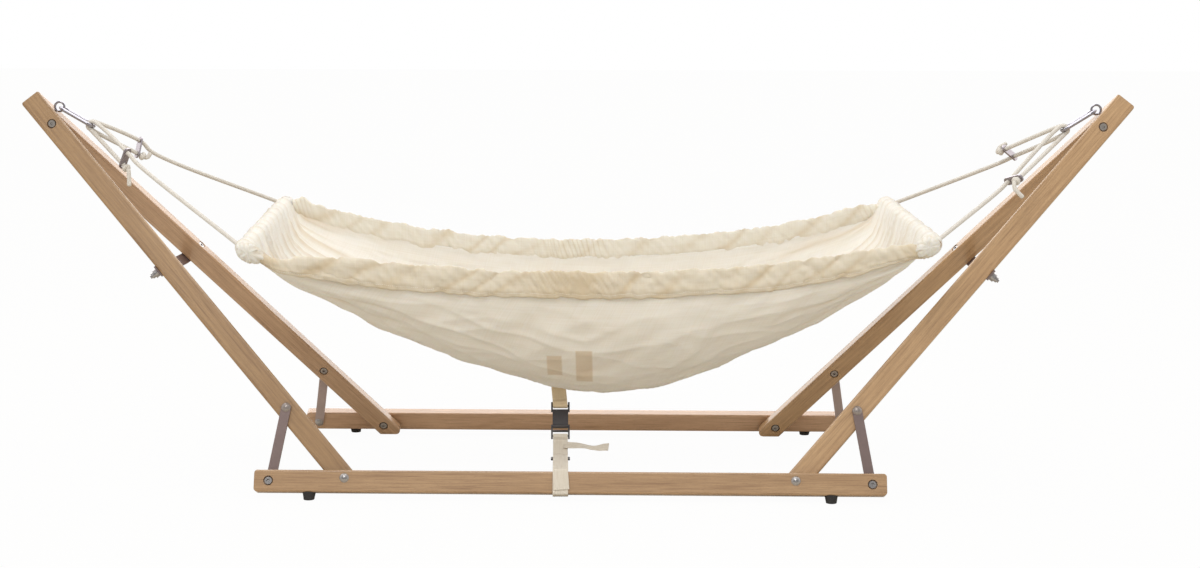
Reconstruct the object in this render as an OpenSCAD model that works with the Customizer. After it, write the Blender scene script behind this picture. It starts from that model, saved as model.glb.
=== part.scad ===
// Baby hammock hung in a free-standing wooden frame. Millimetres, +Z up.
// The origin is on the floor, midway between the four feet. X runs along the rails and
// -Y is the front, where the safety strap is. Each side frame is flat and leans inwards.

/* [Side frames] */
// Lean of each side frame from upright, in degrees
lean = 21.5; // [19:0.5:24]
// Length of a floor rail
rail_len = 1020; // [1000:5:1080]
// Broad face of a rail
rail_w = 36; // [32:1:42]
// Thickness of a rail
rail_t = 19; // [17:1:24]
// Broad face of a leg
leg_w = 36; // [32:1:42]
// Thickness of a leg
leg_t = 19; // [17:1:24]
// Slope of a leg along its side frame, in degrees
leg_rake = 49; // [46:0.5:52]
// Pivot bolt to top bolt, along a leg
leg_reach = 805; // [780:5:840]
// Wood beyond the top bolt, along a leg
leg_tip = 63; // [54:1:80]
// Wood below the pivot bolt, down the side frame
leg_heel = 18; // [14:1:20]
// Pivot bolt from the middle of the rail
pivot_x = 364; // [340:1:390]
// Pivot bolt above the middle line of the rail
pivot_rise = 5; // [0:1:8]
// From the line where the legs' inner faces meet down to the top bolt
top_drop = 15; // [12:1:20]
// Rounding of every long wooden edge
edge_r = 3; // [1:0.5:4]
// Rounding of the rail ends
rail_end_r = 6; // [3:0.5:9]
// Rounding of the leg tips
tip_r = 4; // [2:0.5:8]
// Rounding of the legs' lower corner
heel_r = 8; // [4:0.5:10]

/* [Braces and fixings] */
// Width of a steel side brace
link_w = 16; // [14:1:20]
// Thickness of a steel side brace
link_t = 4; // [3:0.5:5]
// Pivot bolt to the brace's upper bolt, along a leg
link_station = 157; // [130:1:180]
// Brace's lower bolt from the rail's end
link_inset = 23; // [18:1:40]
// Shank of the frame bolts
bolt_d = 8; // [6:0.5:8]
// Sunk heads and nuts of the frame bolts
sunk_d = 12; // [11:0.5:13]
// Counterbore round a sunk head
sink_d = 16; // [15:0.5:18]
// Depth of a counterbore
sink_depth = 6; // [5:0.5:7]
// Domed heads of the frame bolts
dome_d = 15.5; // [14:0.5:16]
// Height of a domed head
dome_h = 4; // [3:0.5:5]
// Pivot bolt to the crossbar, along a leg
crossbar_station = 482; // [460:1:500]
// Width of a crossbar
crossbar_w = 20; // [16:1:24]
// Thickness of a crossbar
crossbar_t = 3; // [2:0.5:4]
// Shank of the crossbar screws
screw_d = 6; // [5:0.5:7]
// Head of a crossbar screw
screw_head_d = 11; // [9.5:0.5:12]
// Thumb nut on a crossbar screw
thumb_nut_d = 15; // [13:0.5:18]
// Rubber feet from the middle of the rail
foot_x = 421; // [405:1:440]
// Diameter of a rubber foot
foot_d = 21; // [17:0.5:22]
// Rail above the floor, at a foot's axis
foot_h = 10; // [8:0.5:16]
// Top bolt to the eye bolt, along a leg
eye_beyond = 21; // [19:1:24]
// Height of the eye's centre above the legs' middle line
eye_rise = 30; // [29:0.5:36]
// Eye ring, across the middle of its wire
eye_d = 16; // [16:0.5:18]
// Wire of the eye ring
eye_wire = 4; // [3:0.5:4.5]
// Washer under the eye bolt's nut
eye_washer_d = 18; // [14:1:20]
// Nut of the eye bolt, across its corners
eye_nut_d = 11.5; // [10:0.5:13]

/* [Hammock] */
// Snap hook, overall length
hook_len = 70; // [66:1:76]
// Snap hook, overall width
hook_w = 28; // [26:1:32]
// Wire of a snap hook
hook_wire = 6; // [5:0.5:6]
// Diameter of the ropes
rope_d = 7; // [6:0.5:7]
// Rope runner, length
runner_len = 40; // [38:1:44]
// Rope runner, width
runner_w = 14; // [13:0.5:16]
// Rope runner, thickness
runner_t = 3; // [2.5:0.5:3]
// Spacing of a runner's two holes
runner_pitch = 24; // [22:0.5:25]
// Rope along from the left hook to the front runner
reach_front_left = 97; // [85:1:120]
// Rope along from the left hook to the back runner
reach_back_left = 87; // [80:1:120]
// Rope along from the right hook to the front runner
reach_front_right = 165; // [140:1:180]
// Rope along from the right hook to the back runner
reach_back_right = 104; // [90:1:130]
// Length of a spreader bar
bar_len = 500; // [490:5:520]
// Diameter of a spreader bar
bar_d = 20; // [18:1:22]
// Left spreader bar from the middle
bar_x_left = 533; // [530:0.5:540]
// Right spreader bar from the middle
bar_x_right = 571.5; // [565:0.5:575]
// Height of the left spreader bar
bar_z_left = 416.5; // [412:0.5:422]
// Height of the right spreader bar
bar_z_right = 424.5; // [420:0.5:430]
// Rise of the left bar towards the back, in degrees
slope_left = 3.6; // [3:0.1:4]
// Rise of the right bar towards the back, in degrees
slope_right = 2.2; // [1.6:0.1:2.8]
// Turn of both bars, front ends to the right, in degrees
skew = 2.1; // [1.6:0.1:2.6]
// Cloth round a spreader bar, wall
casing_wall = 3.5; // [3:0.5:5]
// Half width of the bed at its middle
bed_half = 172; // [150:1:200]
// Height of the gathered side band at its middle
band_z = 346; // [326:1:366]
// Height of a side band
band_h = 42; // [34:1:50]
// Thickness of a side band
band_t = 9; // [7:0.5:12]
// Height of the lowest point of the bed
bed_low = 134; // [128:1:166]
// Drop of the bed close to the bars
end_sag = 40; // [20:1:50]
// Thickness of the bed cloth
cloth_t = 2; // [1.5:0.25:3]

/* [Safety strap] */
// Width of the webbing
web_w = 25; // [22:1:27]
// Thickness of the webbing
web_t = 1.4; // [1.2:0.1:1.6]
// Middle of the strap on the front rail
strap_x = -15; // [-60:1:60]
// Turn of the strap from square to the rail, in degrees
strap_turn = 2.3; // [0:0.1:3]
// Frame of the buckle and of the slider, beside the webbing
frame_w = 3; // [2.5:0.5:4]
// Thickness of the buckle
buckle_t = 8; // [7:0.5:9]
// Free end of the webbing
tail_len = 75; // [50:1:90]

/* [Hidden] */

wood = "burlywood";
steel = "silver";
cloth = "antiquewhite";
black = "dimgray";

bolt_gap = 0.05;      // radial clearance round the fixed bolts
play = 0.35;          // clearance between pieces that move past each other
over = 1;             // how far a cut runs past a face
facets = 48;

// Side frame: each point has a place along X, a depth down the frame from the line where
// the legs' inner faces meet, and an outward distance from those inner faces.
sl = sin(lean);
cl = cos(lean);
rail_in = leg_t + link_t;
rail_out = rail_in + rail_t;
pivot_u = top_drop + leg_reach*sin(leg_rake);
rail_u = pivot_u + pivot_rise;
link_foot_x = rail_len/2 - link_inset;
apex_h = (rail_u + rail_w/2)*cl - (rail_in + rail_t/2)*sl + foot_h;
function side_yz(u, n) = [-(u*sl + n*cl), apex_h - u*cl + n*sl];

// A leg's own frame: a runs up the leg from the pivot bolt, b across it and up, n outward.
function leg_x(a, b) = pivot_x + a*cos(leg_rake) - b*sin(leg_rake);
function leg_u(a, b) = pivot_u - a*sin(leg_rake) - b*cos(leg_rake);
function leg_point(a, b, n) =
    let (q = side_yz(leg_u(a, b), n)) [leg_x(a, b), q[0], q[1]];

// Top joint: the bolt runs along Y and the eye bolt stands in the joint, square to the legs.
top_x = leg_x(leg_reach, 0);
top_z = apex_h - top_drop*cl + leg_t*sl;
top_out = top_drop*sl + leg_t*cl;
slope_len = norm([cos(leg_rake), sin(leg_rake)*cl]);
leg_dir = [cos(leg_rake)/slope_len, sin(leg_rake)*cl/slope_len];
eye_foot = leg_point(leg_reach + eye_beyond, 0, 0);
eye_x = eye_foot[0] - eye_rise*leg_dir[1];
eye_z = eye_foot[2] + eye_rise*leg_dir[0];
eye_tilt = atan2(leg_dir[1], leg_dir[0]);
// How far the legs' rounded inner edges reach below their middle line, square to the legs
edge_b = leg_dir[1]*sin(leg_rake) + leg_dir[0]*cos(leg_rake)*cl;
edge_n = leg_dir[0]*sl;
under_leg = (leg_w/2 - edge_r)*edge_b - edge_r*edge_n + edge_r;
foot_taper = 7;       // how much narrower a foot would be at the end of its full length
eye_sink = 9;         // depth of the pocket for the eye bolt's nut and washer

// Crossbar: a flat bar along Y whose two ends are bent up onto the legs' lower faces
bend = asin(cos(leg_rake)*sl);
bar_turn = atan2(cos(leg_rake)*cl, sin(leg_rake));
tab_point = leg_point(crossbar_station, -leg_w/2, leg_t/2);
tab_in = leg_t/2 + 6;
tab_out = leg_t/2 + 1;
mid_half = -tab_point[1] - tab_in*cos(bend);
mid_x = tab_point[0] + tab_in*sin(bend)*cos(bar_turn);
mid_z = tab_point[2] - tab_in*sin(bend)*sin(bar_turn);

// Snap hook, in its own frame: X runs from the eye's centre down towards the bed
hook_r = (hook_w - hook_wire)/2;
hook_seat = eye_d/2 - eye_wire/2 - hook_wire/2 - play;
hook_run = hook_len - hook_w;
gate_pin_x = hook_seat + hook_r + hook_run - 4;
gate_nose_x = hook_seat + hook_r + 0.4;
gate_pin_d = 2;
tongue_t = 2.4;
dip_left = atan2(eye_z - bar_z_left, eye_x - bar_x_left);
dip_right = atan2(eye_z - bar_z_right, eye_x - bar_x_right);

// Rope routes: [x, y, z, radius], from the spreader bar through the runner, round the hook
// and back through the runner's second hole to a knot and a free end. The roll turns the
// runner on the rope: at 0 its second hole is straight below the first. The drops are how far
// the rope is drawn down at its runner and just past it.
rr = rope_d/2;
knot_r = 7.5;
knot_neck = 6.5;
left_seat = [[-822.5, 593], [-829.5, 594.5], [-834.5, 591], [-835, 585], [-830, 580]];
right_seat = [[823.5, 591], [830, 592.5], [835.5, 589.5], [836.5, 584], [831.5, 578.5]];
rope_apart = 4;       // from the middle of the hook to each of its two ropes
roll_front_left = 0;
roll_back_left = -20;
roll_front_right = 107;
roll_back_right = 127;
past_runner = 4;
below_runner = 24;
function turned(list) = [for (i = [len(list) - 1:-1:0]) list[i]];
function over_hook(seat, y) = [for (p = seat) [p[0], y, p[1]]];
function thick(points, r) = [for (p = points) [p[0], p[1], p[2], r]];
function second_hole(from, to, reach, roll) =
    let (d = unit(to - from), side = unit([-d[1], d[0], 0]), down = cross(side, d))
    from + reach*d + runner_pitch*(cos(roll)*down + sin(roll)*side);
function rope_route(start, seat, reach, roll, drops, tail) =
    let (run = unit(start - seat[0]),
        kink = seat[0] + (reach + past_runner)*run - [0, 0, drops[0]],
        bend = seat[0] + (reach + below_runner)*run - [0, 0, drops[1]],
        hole = second_hole(seat[0], kink, reach, roll), d = unit(hole - seat[4]),
        knot = hole + (runner_t/2 + knot_r + 1)*d)
    concat(
        thick([start, bend, kink], rr), thick(seat, rr), thick([hole - 4*d, hole, hole + 4*d], rr),
        thick([knot - 4.5*d], knot_neck), thick([knot], knot_r), thick([knot + 4.5*d], knot_neck),
        thick([knot + 5.5*d], rr), thick([for (p = tail) knot + 5.5*d + p], rr)
    );
front_left = rope_route([-524.5, -235.5, 401.5], over_hook(left_seat, -rope_apart),
    reach_front_left, roll_front_left, [5, 9], [[2, -4, -10], [3, -8, -27]]);
back_left = rope_route([-541.5, 235.5, 431.5], over_hook(left_seat, rope_apart),
    reach_back_left, roll_back_left, [0, 9.5], [[4, 3, 1], [8, 6, 8]]);
front_right = rope_route([580, -235.5, 415.5], over_hook(right_seat, -rope_apart),
    reach_front_right, roll_front_right, [12, 12.5], [[0, -5, -9], [13, -10, -24]]);
back_right = rope_route([563, 235.5, 433.5], over_hook(turned(right_seat), rope_apart),
    reach_back_right, roll_back_right, [4, 5], [[3, 0, 8], [16, 3, 16]]);

// Bed: s runs from -1 at the left bar to 1 at the right bar, and t from -1 at the front
// band to 1 at the back band
bar_mid = (bar_x_right - bar_x_left)/2;
bar_span = (bar_x_right + bar_x_left)/2;
casing_r = bar_d/2 + play + casing_wall;
bed_end = bar_span - 0.6*casing_r;
bed_drop = 0.65*casing_r; // how far below a bar's middle the bed leaves its casing
hem_gap = 12;         // how far below the middle of a side band the bed's edge is sewn
low_shift = 0.065;    // lowest point right of the middle, as a share of the half length
sag_curve = 1.45;
bed_steps = 28;
bed_cuts = 16;
band_steps = 56;
casing_steps = 18;
casing_sides = 14;
function along(s, y) = bar_mid + s*bed_end - y*tan(skew);
function bar_z(s) = (bar_z_left + bar_z_right)/2 + s*(bar_z_right - bar_z_left)/2;
function rise(s, y) = y*tan((slope_left + slope_right)/2 + s*(slope_right - slope_left)/2);
function edge_half(s) = bed_half + (bar_len/2 - 12 - bed_half)*s*s;
function band_mid(s) = band_z + (bar_z(s) - bed_drop - band_z)*pow(abs(s), 2.2);
function edge_z(s) = band_mid(s) - hem_gap*(1 - pow(s, 4));
function bed_depth(s) =
    let (full = edge_z(0) - bed_low - end_sag, q = s - low_shift*(1 - s*s))
    cloth_t + 0.5 + end_sag*(1 - pow(s, 24)) + full*(1 - pow(abs(q), sag_curve));
function fold(s, t) = 12*pow(abs(s), 3)*(1 - s*s)*sin(t*1080);
function bed_point(s, t, in) =
    let (y = (edge_half(s) - in)*sin(90*t))
    [along(s, y), y, edge_z(s) - (bed_depth(s) - in)*cos(90*t) + fold(s, t) + rise(s, y)];

// Strap, seen along the rail as points [y, z] by hand; the loop follows the rail's section
rail_y = side_yz(rail_u, (rail_in + rail_out)/2)[0];
sewn_at = -12;        // where the upper strap leaves the bed
function bed_under(y) =
    bed_point((strap_x - (sewn_at - rail_y)*tan(strap_turn) - bar_mid)/bed_end,
        asin(y/bed_half)/90, 0)[2];
socket_top = [-28, 109];
buckle_lean = 34;
plug_bar = 56;        // from the socket's bar down to the plug's last bar
slider_yz = [-136, 40];
slider_rib = 3;
slider_slot = 4;
slider_t = 2.5;
web_bow = [[-80, 46], [-98, 39.5]]; // the lower strap between the buckle and the slider
tail_root = [0, -74, 49.5];
tail_lift = 98;
buckle_w = web_w + 1 + 2*frame_w;
body_w = buckle_w - 5;
function loop_yz(u, n, out) =
    side_yz(rail_u + sign(u)*(rail_w/2 + out), (rail_in + rail_out)/2 + sign(n)*(rail_t/2 + out));
loop_1 = 0.3 + web_w/2*tan(strap_turn) + web_t/2;
loop_2 = loop_1 + web_t + 0.1;

// General shapes

// Rectangle with rounded corners, from its lower left corner
module round_rect(w, h, r) {
    translate([r, 0]) square([w - 2*r, h]);
    translate([0, r]) square([w, h - 2*r]);
    for (x = [r, w - r], y = [r, h - r]) translate([x, y]) circle(r, $fn = facets);
}

// What rounding by r takes off a corner at the origin that points along +X and +Y
module corner_cut(r) {
    difference() {
        translate([-r, -r]) square(r + over);
        translate([-r, -r]) circle(r, $fn = facets);
    }
}

// Bar of rounded section w by t from the origin along X
module planed_bar(len, w, t) {
    rotate([90, 0, 90]) linear_extrude(len) round_rect(w, t, edge_r);
}

// Domed bolt head that stands on the XY plane
module dome(d, h) {
    ball = (d*d/4 + h*h)/(2*h);
    intersection() {
        translate([0, 0, h - ball]) sphere(ball, $fn = facets);
        cylinder(h = h, d = d + over, $fn = facets);
    }
}

// Round head with a hexagon socket in its top face
module socket_head(d, h) {
    difference() {
        cylinder(h = h, d = d, $fn = facets);
        translate([0, 0, h/2]) cylinder(h = h, d = d*0.5, $fn = 6);
    }
}

// Solid through closed rings of points, with flat ends
module loft(rings) {
    n = len(rings[0]);
    m = len(rings);
    polyhedron(
        points = [for (ring = rings) for (p = ring) p],
        faces = concat(
            [for (i = [1:n - 2]) [0, i, i + 1]],
            [for (i = [1:n - 2]) [(m - 1)*n, (m - 1)*n + i + 1, (m - 1)*n + i]],
            [for (j = [0:m - 2]) for (i = [0:n - 1])
                let (k = (i + 1) % n) each [
                    [j*n + i, (j + 1)*n + i, (j + 1)*n + k],
                    [j*n + i, (j + 1)*n + k, j*n + k]]]
        )
    );
}

// Rope or rod: a ring of points round each point [x, y, z, radius] of a route
function unit(v) = v/norm(v);
function xyz(p) = [p[0], p[1], p[2]];
function route_dir(route, i) =
    i == 0 ? unit(xyz(route[1] - route[0])) :
    i == len(route) - 1 ? unit(xyz(route[i] - route[i - 1])) :
    unit(unit(xyz(route[i] - route[i - 1])) + unit(xyz(route[i + 1] - route[i])));
function carry(d, side) = unit(side - (side*d)*d);
function sides_along(route, i) =
    i == 0 ? carry(route_dir(route, 0), [0.3, 1, 0.2]) :
    carry(route_dir(route, i), sides_along(route, i - 1));
module rope(route) {
    loft([for (i = [0:len(route) - 1])
        let (d = route_dir(route, i), a = sides_along(route, i), b = cross(d, a))
        [for (k = [0:7]) xyz(route[i]) + route[i][3]*(cos(45*k)*a + sin(45*k)*b)]]);
}

// Strip of webbing along a path, web_w wide
function left_of(a, b) = let (d = (b - a)/norm(b - a)) [-d[1], d[0]];
function offset_at(path, i, t) =
    i == 0 ? left_of(path[0], path[1])*t/2 :
    i == len(path) - 1 ? left_of(path[i - 1], path[i])*t/2 :
    let (p = left_of(path[i - 1], path[i]), q = left_of(path[i], path[i + 1]))
    (p + q)*t/2/(1 + p*q);
module ribbon(path, t) {
    last = len(path) - 1;
    linear_extrude(web_w, center = true) polygon(concat(
        [for (i = [0:last]) path[i] + offset_at(path, i, t)],
        [for (i = [last:-1:0]) path[i] - offset_at(path, i, t)]
    ));
}

// Strip whose path is seen along X, as points [y, z]
module strip(path, t) {
    rotate([90, 0, 90]) ribbon(path, t);
}

// Places

// Local X, up the frame, outward: the front side frame
module in_front() {
    translate([0, 0, apex_h]) rotate([90 - lean, 0, 0]) children();
}

// Along, across and out of the front right leg, from its pivot bolt
module on_leg() {
    in_front() translate([pivot_x, -pivot_u, 0]) rotate([0, 0, leg_rake]) children();
}

// The front right corner's piece, mirrored to any corner: x 1 is right, y 1 is back
module corner(x, y) {
    mirror([x < 0 ? 1 : 0, 0, 0]) mirror([0, y > 0 ? 1 : 0, 0]) children();
}

// The eye bolt's frame on the right: Z points up out of the joint from the legs' middle line
module at_eye() {
    translate([eye_foot[0], 0, eye_foot[2]]) rotate([0, -eye_tilt, 0]) children();
}

// Snap hook's frame: x is 1 for the right hook
module at_hook(x) {
    translate([x*eye_x, 0, eye_z])
        mirror([x > 0 ? 1 : 0, 0, 0])
            rotate([0, x > 0 ? dip_right : dip_left, 0]) children();
}

// Spreader bar's frame, with Y along the bar
module at_bar(x) {
    translate([x > 0 ? bar_x_right : -bar_x_left, 0, x > 0 ? bar_z_right : bar_z_left])
        rotate([0, 0, skew]) rotate([x > 0 ? slope_right : slope_left, 0, 0]) children();
}

// Local Z along the rope from a to b, with local X pointing down
module along_rope(a, b, reach) {
    d = unit(xyz(b - a));
    at = xyz(a) + reach*d;
    translate(at) rotate([0, acos(d[2]), atan2(d[1], d[0])]) children();
}

// Wooden pieces

module rail(y) {
    color(wood) corner(1, y) in_front() difference() {
        translate([-rail_len/2, -rail_u - rail_w/2, rail_in]) planed_bar(rail_len, rail_w, rail_t);
        for (x = [-1, 1]) {
            for (v = [-1, 1])
                translate([x*rail_len/2, -rail_u + v*rail_w/2, rail_in - over])
                    mirror([x < 0 ? 1 : 0, 0, 0]) mirror([0, v < 0 ? 1 : 0, 0])
                        linear_extrude(rail_t + 2*over) corner_cut(rail_end_r);
            translate([x*pivot_x, -pivot_u, rail_in - over])
                cylinder(h = rail_t + 2*over, d = bolt_d + 2*bolt_gap, $fn = facets);
            translate([x*link_foot_x, -rail_u, rail_in - over])
                cylinder(h = rail_t + 2*over, d = bolt_d + 2*bolt_gap, $fn = facets);
            translate([x*link_foot_x, -rail_u, rail_out - sink_depth])
                cylinder(h = sink_depth + over, d = sink_d, $fn = facets);
        }
    }
}

// The legs' lower end is cut level with the rail and its sharp corner is rounded
module heel_cut() {
    rotate([0, 0, -leg_rake]) translate([-leg_reach/2, -leg_heel - leg_reach, -over])
        cube([leg_reach, leg_reach, leg_t + 2*over]);
    cb = leg_w/2 - heel_r;
    ca = (heel_r - leg_heel - cb*cos(leg_rake))/sin(leg_rake);
    low = [-heel_r*sin(leg_rake), -heel_r*cos(leg_rake)];
    high = [0, heel_r];
    tip = [-heel_r/tan(leg_rake/2), heel_r];
    translate([ca, cb, -over]) linear_extrude(leg_t + 2*over) difference() {
        polygon([low, 1.2*low, 1.2*tip, 1.2*high, high]);
        circle(heel_r, $fn = facets);
    }
}

module leg(x, y) {
    whole = leg_reach + leg_tip;
    below = leg_w + leg_heel;
    color(wood) corner(x, y) difference() {
        on_leg() difference() {
            translate([-below, -leg_w/2, 0]) planed_bar(whole + below, leg_w, leg_t);
            heel_cut();
            for (v = [-1, 1])
                translate([whole, v*leg_w/2, -over]) mirror([0, v < 0 ? 1 : 0, 0])
                    linear_extrude(leg_t + 2*over) corner_cut(tip_r);
            for (a = [0, link_station]) {
                translate([a, 0, -over])
                    cylinder(h = leg_t + 2*over, d = bolt_d + 2*bolt_gap, $fn = facets);
                translate([a, 0, -over]) cylinder(h = sink_depth + over, d = sink_d, $fn = facets);
            }
            translate([crossbar_station, 0, leg_t/2]) rotate([90, 0, 0]) {
                cylinder(h = leg_w + 2*over, d = screw_d + 2*bolt_gap, center = true, $fn = facets);
                translate([0, 0, -leg_w/2 - over])
                    cylinder(h = sink_depth + over, d = screw_head_d + 2, $fn = facets);
            }
        }
        translate([0, -bolt_gap, 0]) cube([eye_x*2, leg_reach, apex_h*2]);
        translate([top_x, over - leg_t*2, top_z]) rotate([-90, 0, 0])
            cylinder(h = leg_t*2, d = bolt_d + 2*bolt_gap, $fn = facets);
        translate([top_x, -top_out - leg_t, top_z]) rotate([-90, 0, 0])
            cylinder(h = leg_t + sink_depth, d = sink_d, $fn = facets);
        at_eye() {
            cylinder(h = leg_w*2, d = screw_d + 2*bolt_gap, center = true, $fn = facets);
            translate([0, 0, -under_leg - leg_w])
                cylinder(h = leg_w + eye_sink, d = eye_washer_d + 2*play, $fn = facets);
        }
    }
}

// Steel pieces

module brace(x, y) {
    ax = leg_x(link_station, 0);
    au = leg_u(link_station, 0);
    run = norm([link_foot_x - ax, rail_u - au]);
    color(steel) corner(x, y) in_front()
        translate([ax, -au, leg_t]) rotate([0, 0, atan2(au - rail_u, link_foot_x - ax)])
            linear_extrude(link_t) difference() {
                union() {
                    translate([0, -link_w/2]) square([run, link_w]);
                    circle(d = link_w, $fn = facets);
                    translate([run, 0]) circle(d = link_w, $fn = facets);
                }
                circle(d = bolt_d + 2*bolt_gap, $fn = facets);
                translate([run, 0]) circle(d = bolt_d + 2*bolt_gap, $fn = facets);
            }
}

// Bolt along Z: a domed head above z = high, and a sunk head whose seat is at z = low
module frame_bolt(low, high) {
    translate([0, 0, low - 1]) cylinder(h = high - low + 1.5, d = bolt_d, $fn = facets);
    translate([0, 0, high]) dome(dome_d, dome_h);
    translate([0, 0, low]) mirror([0, 0, 1]) socket_head(sunk_d, sink_depth - over);
}

module pivot_bolt(x, y) {
    color(steel) corner(x, y) in_front() translate([pivot_x, -pivot_u, 0]) {
        frame_bolt(sink_depth, rail_out);
        translate([0, 0, leg_t]) difference() {
            cylinder(h = link_t, d = sink_d, $fn = facets);
            translate([0, 0, -over])
                cylinder(h = link_t + 2*over, d = bolt_d + 2*bolt_gap, $fn = facets);
        }
    }
}

module brace_bolt(x, y) {
    color(steel) corner(x, y) on_leg() translate([link_station, 0, 0])
        frame_bolt(sink_depth, leg_t + link_t);
}

module rail_bolt(x, y) {
    color(steel) corner(x, y) in_front() translate([link_foot_x, -rail_u, rail_out])
        mirror([0, 0, 1]) frame_bolt(sink_depth, rail_t + link_t);
}

module top_bolt(x) {
    seat = top_out - sink_depth;
    color(steel) corner(x, -1) translate([top_x, 0, top_z]) for (y = [-1, 1])
        mirror([0, y > 0 ? 1 : 0, 0]) rotate([90, 0, 0]) {
            cylinder(h = seat + 1, d = bolt_d, $fn = facets);
            translate([0, 0, seat]) socket_head(sunk_d, sink_depth - over);
        }
}

module screw_bore() {
    on_leg() translate([crossbar_station, 0, leg_t/2]) rotate([90, 0, 0])
        cylinder(h = 2*leg_w, d = screw_d + 2*bolt_gap, $fn = facets);
}

module crossbar(x) {
    run = tab_in + tab_out;
    end_y = mid_half + run*cos(bend);
    end_z = run*sin(bend);
    mitre = crossbar_t*tan(bend/2);
    under = [crossbar_t*sin(bend), -crossbar_t*cos(bend)];
    color(steel) corner(x, -1) difference() {
        translate([mid_x, 0, mid_z]) rotate([0, bar_turn - 90, 0]) rotate([90, 0, 90])
            linear_extrude(crossbar_w, center = true) polygon([
                [-end_y, end_z], [-mid_half, 0], [mid_half, 0], [end_y, end_z],
                [end_y, end_z] + under, [mid_half + mitre, -crossbar_t],
                [-mid_half - mitre, -crossbar_t], [-end_y - under[0], end_z + under[1]]
            ]);
        for (y = [-1, 1]) corner(1, y) screw_bore();
    }
}

// Screw from a sunk head on the leg's upper edge through the crossbar to a thumb nut
module crossbar_screw(x, y) {
    seat = sink_depth - leg_w/2;
    nut = leg_w/2 + crossbar_t;
    color(steel) corner(x, y) on_leg() translate([crossbar_station, 0, leg_t/2])
        rotate([90, 0, 0]) {
            translate([0, 0, seat]) mirror([0, 0, 1]) socket_head(screw_head_d, sink_depth - over);
            translate([0, 0, seat - 1]) cylinder(h = nut - seat + 16, d = screw_d, $fn = facets);
            translate([0, 0, nut]) cylinder(h = 7, d = thumb_nut_d, $fn = facets);
            translate([0, 0, nut + 6]) cylinder(h = 6, d = screw_d + 4, $fn = facets);
        }
}

module foot(x, y) {
    color("black") corner(x, y) difference() {
        in_front() translate([foot_x, -rail_u - rail_w/2, rail_in + rail_t/2]) rotate([90, 0, 0])
            cylinder(h = 2*foot_h, d1 = foot_d, d2 = foot_d - foot_taper, $fn = facets);
        translate([foot_x - foot_d, -leg_reach, -2*foot_h])
            cube([2*foot_d, leg_reach, 2*foot_h]);
    }
}

module eye_bolt(x) {
    neck = eye_rise - eye_d/2;
    seat = eye_sink - under_leg;
    color(steel) corner(x, -1) at_eye() {
        translate([0, 0, eye_rise]) rotate([90, 0, 0]) rotate_extrude($fn = facets)
            translate([eye_d/2, 0]) circle(d = eye_wire, $fn = 24);
        translate([0, 0, seat - 8]) cylinder(h = neck - seat + 8, d = screw_d, $fn = facets);
        translate([0, 0, seat - 1.5]) cylinder(h = 1.5, d = eye_washer_d, $fn = facets);
        translate([0, 0, seat - 7]) cylinder(h = 5.5, d = eye_nut_d, $fn = 6);
    }
}

// Hammock hardware

module hook(x) {
    color(steel) at_hook(x) difference() {
        union() {
            translate([hook_seat + hook_r, 0, 0]) rotate([0, 0, 90])
                rotate_extrude(angle = 180, $fn = facets)
                    translate([hook_r, 0]) circle(d = hook_wire, $fn = 24);
            translate([hook_seat + hook_r + hook_run, 0, 0]) rotate([0, 0, -90])
                rotate_extrude(angle = 180, $fn = facets)
                    translate([hook_r, 0]) circle(d = hook_wire, $fn = 24);
            translate([hook_seat + hook_r, -hook_r, 0]) rotate([0, 90, 0])
                cylinder(h = hook_run, d = hook_wire, $fn = 24);
            translate([gate_pin_x, hook_r - tongue_t, -tongue_t/2])
                cube([4 + over, 2*tongue_t, tongue_t]);
            translate([gate_pin_x, hook_r, -tongue_t/2])
                cylinder(h = tongue_t, r = tongue_t, $fn = 24);
        }
        translate([gate_pin_x, hook_r, -hook_wire])
            cylinder(h = 2*hook_wire, d = gate_pin_d + 2*bolt_gap, $fn = 24);
    }
}

// Sprung gate: a bar whose forked end straddles the hook's tongue, with its pin
module gate(x) {
    slot = tongue_t + 0.5;
    color("lightgray") at_hook(x) {
        difference() {
            union() {
                translate([gate_nose_x, hook_r, 0]) rotate([0, 90, 0])
                    cylinder(h = gate_pin_x - gate_nose_x, d = hook_wire, $fn = 24);
                translate([gate_pin_x, hook_r, 0]) sphere(d = hook_wire, $fn = 24);
            }
            translate([gate_pin_x - tongue_t - over, hook_r - hook_wire, -slot/2])
                cube([2*hook_wire, 2*hook_wire, slot]);
        }
        translate([gate_pin_x, hook_r, -hook_wire/2])
            cylinder(h = hook_wire, d = gate_pin_d, $fn = 24);
    }
}

// Flat runner with two rope holes, the first round the rope's main run
module runner(route, reach, roll) {
    color(steel) along_rope(route[3], route[2], reach) rotate([0, 0, roll]) difference() {
        translate([runner_pitch/2, 0, -runner_t/2]) linear_extrude(runner_t)
            translate([-runner_len/2, -runner_w/2]) round_rect(runner_len, runner_w, runner_w/2 - 0.5);
        cylinder(h = 3*runner_t, d = rope_d + 2*play, center = true, $fn = facets);
        translate([runner_pitch, 0, 0])
            cylinder(h = 3*runner_t, d = rope_d + 2, center = true, $fn = facets);
    }
}

module spreader_bar(x, front, back) {
    color(wood) difference() {
        at_bar(x) rotate([90, 0, 0]) cylinder(h = bar_len, d = bar_d, center = true, $fn = facets);
        for (route = [front, back])
            along_rope(route[0], route[1], -0.5)
                cylinder(h = 2*bar_d, d = rope_d + 2*bolt_gap, $fn = facets);
    }
}

// Cloth

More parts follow.
